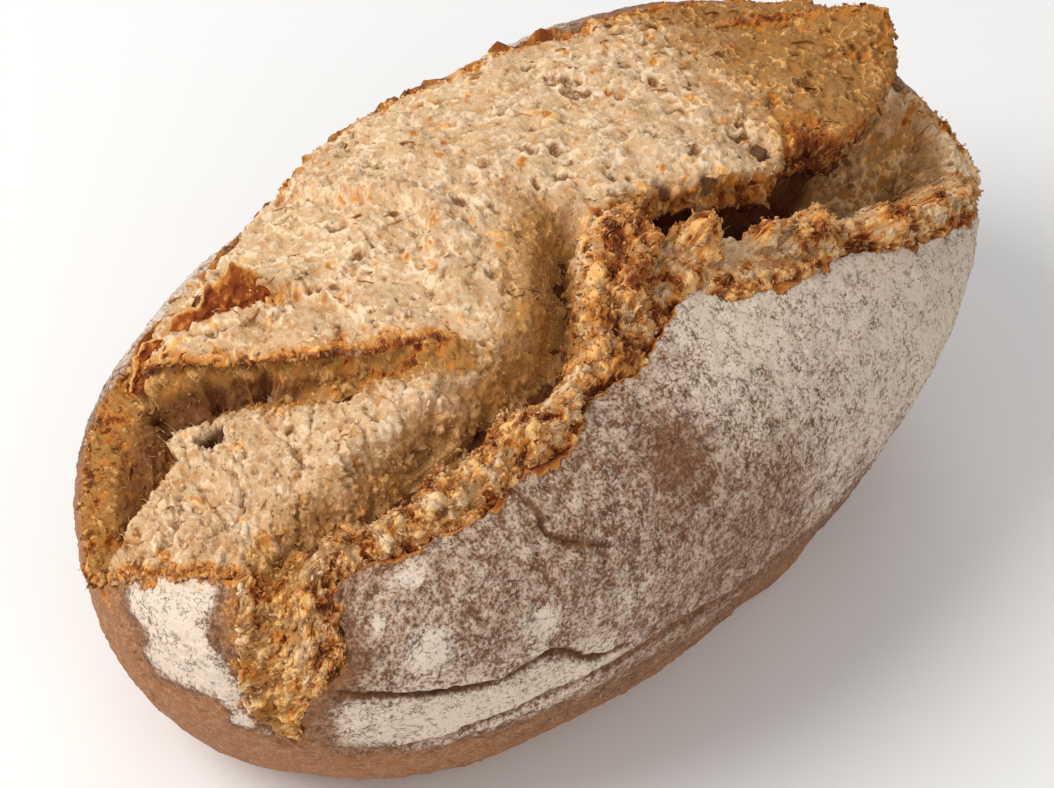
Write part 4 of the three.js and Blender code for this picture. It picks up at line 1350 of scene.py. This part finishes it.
CRUMB_PALE = colour(214, 177, 134)
CRUMB_TAN = colour(164, 114, 56)
CRUMB_GOLD = colour(190, 132, 66)
CRUMB_WEB_HIGHLIGHT = colour(246, 222, 188)
CRUMB_PIT_SHADE = colour(118, 70, 24)
CRUMB_BRAN = colour(124, 80, 42)
CRUMB_PAINTED_SHADE = colour(84, 36, 12)
TOAST_HIGHLIGHT = colour(252, 200, 126)
TOAST_ORANGE = colour(200, 126, 50)
TOAST_BROWN = colour(136, 64, 18)
TOAST_DARK = colour(82, 26, 6)
FLOUR_WHITE = colour(232, 214, 194)
FLOUR_THIN = colour(196, 158, 128)
CRUST_MAUVE = colour(114, 73, 45)
CRUST_BROWN = colour(152, 98, 52)
CRUST_ORANGE = colour(186, 132, 78)
CRUST_CRACK = colour(66, 36, 20)


def torn_crumb_paint():
    """Torn, oven-dried crumb: pale webs with painted highlights, tan pits with painted shade, bran specks,
    toasted edges, and painted shade in holes, hollows and under overhangs.
    """
    paint = Paint("torn_crumb")
    toast, deep, tan = paint.attribute("toast"), paint.attribute("deep"), paint.attribute("tan")
    pale, pit = paint.attribute("pale"), paint.attribute("pit")
    blotch = paint.noise(9.0, 2)
    grain = paint.noise(1.5, 3, 0.65)
    fine = paint.noise(0.6, 2, 0.6)
    tanned = (tan + 0.9 * (blotch - 0.5) + 1.1 * (grain - 0.5)).between(-0.1, 0.8)
    base = paint.mix(CRUMB_PALE, CRUMB_TAN, tanned)
    # Painted shade: darker crumb-pit brown in bubbles, pits and the recesses between webs.
    pitted = (pit + 0.9 * (grain - 0.5) + 0.5 * (fine - 0.5)).between(0.1, 0.9)
    base = paint.mix(base, CRUMB_PIT_SHADE, pitted * 0.85)
    golden = (paint.noise(4.5, 3, 0.6) + 0.3 * (fine - 0.5)).between(0.5, 0.68)
    base = paint.mix(base, CRUMB_GOLD, golden * 0.7)
    speck = (1 - paint.cells(1.7, "F1")).between(0.70, 0.84) * grain.between(0.46, 0.56)
    base = paint.mix(base, CRUMB_BRAN, speck * 0.7)
    browned = toast + 0.6 * (paint.noise(3.0, 3, 0.65) - 0.5) + 0.3 * (fine - 0.5)
    base = paint.mix(base, TOAST_ORANGE, browned.between(0.12, 0.42))
    base = paint.mix(base, TOAST_BROWN, browned.between(0.4, 0.75))
    base = paint.mix(base, TOAST_DARK, browned.between(0.75, 1.15))
    # Pale webs with painted highlights: cream on plain crumb, light orange on toasted crumb, lighter where
    # the pale mask is high.
    web = paint.mix(CRUMB_WEB_HIGHLIGHT, TOAST_HIGHLIGHT, (browned + 0.6 * tan).between(0.1, 0.45))
    pale_and_highlit = (pale - 0.35 * tan + 1.0 * (fine - 0.5) + 0.5 * (grain - 0.5)).between(0.3, 0.95)
    base = paint.mix(base, web, pale_and_highlit * (1 - 0.55 * browned.between(0.4, 0.9)) * 0.85)
    # Painted shade: dark red-brown in holes, hollows, low places and under overhangs, by the deep mask.
    base = paint.mix(base, CRUMB_PAINTED_SHADE, (deep + 0.3 * (grain - 0.5)).between(0.1, 0.9) * 0.9)
    relief = paint.bump(grain * 0.7 + fine * 0.6, 0.7, 0.5)
    return paint.finish(
        {"Base Color": base, "Normal": relief},
        {"Roughness": 0.85, "Specular IOR Level": 0.25},
    )


def floured_crust_paint():
    """Baked crust under a dusting of flour, with short cracks, toasted torn edges with painted highlights,
    and painted shade where the crust dives under the burst.
    """
    paint = Paint("floured_crust")
    toast, flour, under_burst_shade = paint.attribute("toast"), paint.attribute("flour"), paint.attribute("deep")
    cake, pit = paint.attribute("pale"), paint.attribute("pit")
    blotch = paint.noise(16.0, 2)
    patch = paint.noise(5.5, 3, 0.6)
    mottle = paint.noise(2.2, 4, 0.7)
    fine = paint.noise(0.8, 3, 0.7)
    crust = paint.mix(CRUST_BROWN, CRUST_MAUVE, (flour + 0.4 * (blotch - 0.5)).between(0.1, 0.45))
    crust = paint.mix(crust, CRUST_ORANGE, (blotch * 0.6 + mottle * 0.5 - flour * 1.5).between(0.4, 0.8))
    uneven = 0.3 * (blotch - 0.5) + 0.6 * (patch - 0.5) + 1.0 * (mottle - 0.5) + 1.9 * (fine - 0.5)
    dust = 0.7 * flour + uneven + 0.15 * (cake - 0.5)
    specks = (1 - paint.cells(1.1, "F1")).between(0.72, 0.9) * mottle.between(0.42, 0.55)
    powder = dust.between(0.08, 0.68) * flour.between(0.04, 0.25) * (1 - 0.6 * specks)
    powder = powder * (0.6 + 0.4 * flour.between(0.35, 0.65))
    powder = powder.larger((0.9 * fine + 0.6 * mottle).between(0.7, 0.88) * 0.45)
    flour_colour = paint.mix(FLOUR_THIN, FLOUR_WHITE, (flour + 0.5 * (mottle - 0.5)).between(0.36, 0.66))
    floured = paint.mix(crust, flour_colour, powder * 0.92)
    wide = 1 - paint.cells(6.5, place=paint.bent(3.0, 2.6)).between(0.0, 0.05)
    small = 1 - paint.cells(2.4, place=paint.bent(1.4, 1.2)).between(0.0, 0.08)
    wide = wide * paint.noise(7.0, 3, 0.6).between(0.52, 0.6) * flour.between(0.05, 0.3)
    small = small * paint.noise(3.5, 2).between(0.48, 0.6) * flour.between(0.05, 0.3)
    cracks = pit.larger(0.8 * wide).larger(0.8 * small)
    cracked = paint.mix(floured, CRUST_CRACK, cracks.between(0.1, 0.95) * 0.8)
    browned = toast + 0.9 * (mottle - 0.5) + 0.6 * (fine - 0.5)
    torn = paint.mix(cracked, TOAST_ORANGE, browned.between(0.22, 0.4))
    torn = paint.mix(torn, TOAST_BROWN, browned.between(0.38, 0.8) * 0.9)
    # Painted highlights: light orange flecks on the toasted torn edges.
    light = (fine - 0.5 * browned).between(0.36, 0.5) * browned.between(0.2, 0.4)
    torn = paint.mix(torn, TOAST_HIGHLIGHT, light * 0.6)
    # Painted shade: the crust inside the burst, where it dives under the crumb, takes the dark crumb-pit
    # brown.
    torn = paint.mix(torn, CRUMB_PIT_SHADE, under_burst_shade.between(0.2, 0.8))
    relief = paint.bump(mottle * 0.6 + fine * 0.6 - 0.6 * pit, 0.8, 0.5)
    roughness = 0.75 + 0.2 * dust.between(0.25, 0.8)
    return paint.finish(
        {"Base Color": torn, "Normal": relief, "Roughness": roughness},
        {"Specular IOR Level": 0.35},
    )


# ---- The loaf ----

EDGE_MAP = EdgeMap(rings=260, rows=420)
CRUMB = torn_crumb_paint()
CRUST = floured_crust_paint()

# Each skin: its shape and grit, how many rings and rows it has, and where they lie close together. A span is
# in x, and the near and back borders give an angle round the hull, in degrees, at places in x.
SKINS = (
    {
        "name": "loaf_crust_near", "shape": near_crust, "grit": crust_grit, "material": CRUST,
        "rings": 400, "rows": 240, "span": (-134, 134),
        "near": [(-135, 14), (-120, 16), (120, 16), (135, 14)],
        "back": [(-135, 130), (-122, 132), (-112, 152), (-100, 148), (-86, 147), (-74, 144), (-57, 150),
                 (-28, 147), (0, 152), (6, 147), (27, 142), (45, 138), (58, 132), (78, 123), (102, 111),
                 (115, 112), (124, 150), (135, 150)],
    },
    {
        "name": "loaf_crust_back", "shape": back_crust, "grit": crust_grit, "material": CRUST,
        "rings": 380, "rows": 250, "span": (-135, 135),
        "near": [(-135, 50), (-124, 60), (-116, 150), (-104, 240), (-84, 226), (-48, 221), (-27, 225),
                 (1, 230), (38, 216), (60, 210), (84, 202), (100, 190), (112, 165), (121, 110),
                 (128, 90), (135, 70)],
        "back": [(-135, 345), (135, 345)],
    },
    {
        "name": "loaf_crumb_left", "shape": left_crumb, "grit": crumb_grit, "material": CRUMB,
        "rings": 360, "rows": 262, "span": (-134, -16), "steep": 4.5,
        "near": [(-135, 50), (-122, 52), (-116, 120), (-108, 142), (-100, 143), (-86, 142), (-74, 141),
                 (-57, 145), (-28, 146), (-10, 150)],
        "back": [(-135, 285), (-131, 280), (-117, 256), (-101, 249), (-84, 236), (-48, 231), (-27, 235),
                 (-10, 238)],
    },
    {
        "name": "loaf_crumb_dome", "shape": right_crumb, "grit": crumb_grit, "material": CRUMB,
        "rings": 400, "rows": 236, "span": (-56, 128),
        "near": [(-58, 148), (-28, 150), (-10, 155), (0, 158), (20, 153), (38, 151), (70, 147),
                 (90, 148), (105, 149), (117, 155), (128, 165)],
        "back": [(-58, 231), (-27, 235), (1, 239), (38, 226), (60, 220), (84, 213), (104, 218),
                 (112, 220), (128, 212)],
    },
    {
        "name": "loaf_crumb_torn", "shape": torn_crumb, "grit": crumb_grit, "material": CRUMB,
        "rings": 430, "rows": 230, "span": (-130, 122), "steep": 8.0,
        "near": [(-135, 50), (-127, 60), (-120, 100), (-112, 136), (-100, 141), (-86, 140), (-74, 137),
                 (-57, 143), (-28, 140), (-15, 144), (0, 146), (6, 140), (27, 135), (45, 131),
                 (58, 125), (78, 116), (102, 102), (115, 100), (122, 110)],
        "back": [(-135, 150), (-120, 156), (-100, 158), (-66, 158), (-44, 160), (-30, 170), (-10, 182),
                 (0, 182), (12, 176), (38, 168), (70, 166), (90, 166), (105, 168), (117, 175),
                 (122, 180)],
    },
)

FINENESS = 1

made = []
for skin in SKINS:
    counts = {name: skin[name] // FINENESS for name in ("rings", "rows")}
    made.append(make_skin(**{**skin, **counts}))
shown = gather(made)
make_crumbs(shown, doublings=13)
make_fibres(shown, doublings=11)
make_flakes(
    "loaf_crumb_flakes", seed=33, shown=shown, weight=shown["flaky"], doublings=8,
    widths=(1.2, 3.8), reaches=(0.9, 2.4), rises=(0.2, 0.9), browning=(-0.4, 0.35),
)
make_flakes(
    "loaf_torn_flakes", seed=35, shown=shown, weight=shown["bits"], doublings=9,
    widths=(0.5, 1.5), reaches=(0.4, 1.1), rises=(0.2, 1.0), browning=(-0.4, 0.3),
)
make_shards()


# ---- Camera, light and floor ----

def make_camera():
    azimuth, elevation, roll = (math.radians(VIEW[name]) for name in ("azimuth", "elevation", "roll"))
    level = math.cos(elevation)
    back = Vector((math.sin(azimuth) * level, -math.cos(azimuth) * level, math.sin(elevation)))
    right = Vector((math.cos(azimuth), math.sin(azimuth), 0))
    up = back.cross(right)
    rolled_right = math.cos(roll) * right + math.sin(roll) * up
    rolled_up = math.cos(roll) * up - math.sin(roll) * right
    aim = Vector(VIEW["aim"]) + Vector(TO_ORIGIN)
    data = bpy.data.cameras.new("camera")
    data.lens = LENS
    data.sensor_width = SENSOR
    data.sensor_fit = "HORIZONTAL"
    data.clip_end = 20
    camera = bpy.data.objects.new("camera", data)
    turn = Matrix((rolled_right, rolled_up, back)).transposed().to_4x4()
    camera.matrix_world = Matrix.Translation((aim + VIEW["distance"] * back) * MM) @ turn
    bpy.context.scene.collection.objects.link(camera)
    bpy.context.scene.camera = camera


LIGHT_AIM = (0, 0, 0.05)
LIGHTS = (
    # name, place in metres, size, watts and tint
    ("key", (-0.80, 0.55, 1.0), 0.9, 14.5, (1.0, 0.985, 0.96)),
    ("fill", (-0.7, -1.0, 0.9), 1.2, 5.2, (1.0, 0.98, 0.96)),
    ("rim", (0.9, 0.7, 0.6), 0.8, 3.2, (1.0, 1.0, 1.0)),
)
WORLD_STRENGTH = 0.38
FLOOR_HALF_SIZE = 6
FLOOR_Z = -0.0003


def make_light(name, place, size, watts, tint):
    data = bpy.data.lights.new(name, "AREA")
    data.shape = "DISK"
    data.size = size
    data.energy = watts
    data.color = tint
    light = bpy.data.objects.new(name, data)
    light.location = place
    light.rotation_euler = (Vector(LIGHT_AIM) - Vector(place)).to_track_quat("-Z", "Y").to_euler()
    bpy.context.scene.collection.objects.link(light)


def make_floor():
    slab = bmesh.new()
    place = Matrix.Translation((0, 0, FLOOR_Z))
    bmesh.ops.create_grid(slab, x_segments=8, y_segments=8, size=FLOOR_HALF_SIZE, matrix=place)
    mesh = bpy.data.meshes.new("floor")
    slab.to_mesh(mesh)
    slab.free()
    paint = Paint("pale_floor")
    mesh.materials.append(paint.finish({}, {"Base Color": (0.93, 0.93, 0.93, 1), "Roughness": 0.9}))
    floor = bpy.data.objects.new("floor", mesh)
    bpy.context.scene.collection.objects.link(floor)


def make_stage():
    make_camera()
    make_floor()
    for light in LIGHTS:
        make_light(*light)
    world = bpy.data.worlds.new("studio")
    world.use_nodes = True
    background = world.node_tree.nodes["Background"]
    background.inputs["Color"].default_value = (1, 1, 1, 1)
    background.inputs["Strength"].default_value = WORLD_STRENGTH
    scene = bpy.context.scene
    scene.world = world
    scene.view_settings.view_transform = "Standard"
    scene.view_settings.look = "None"


make_stage()
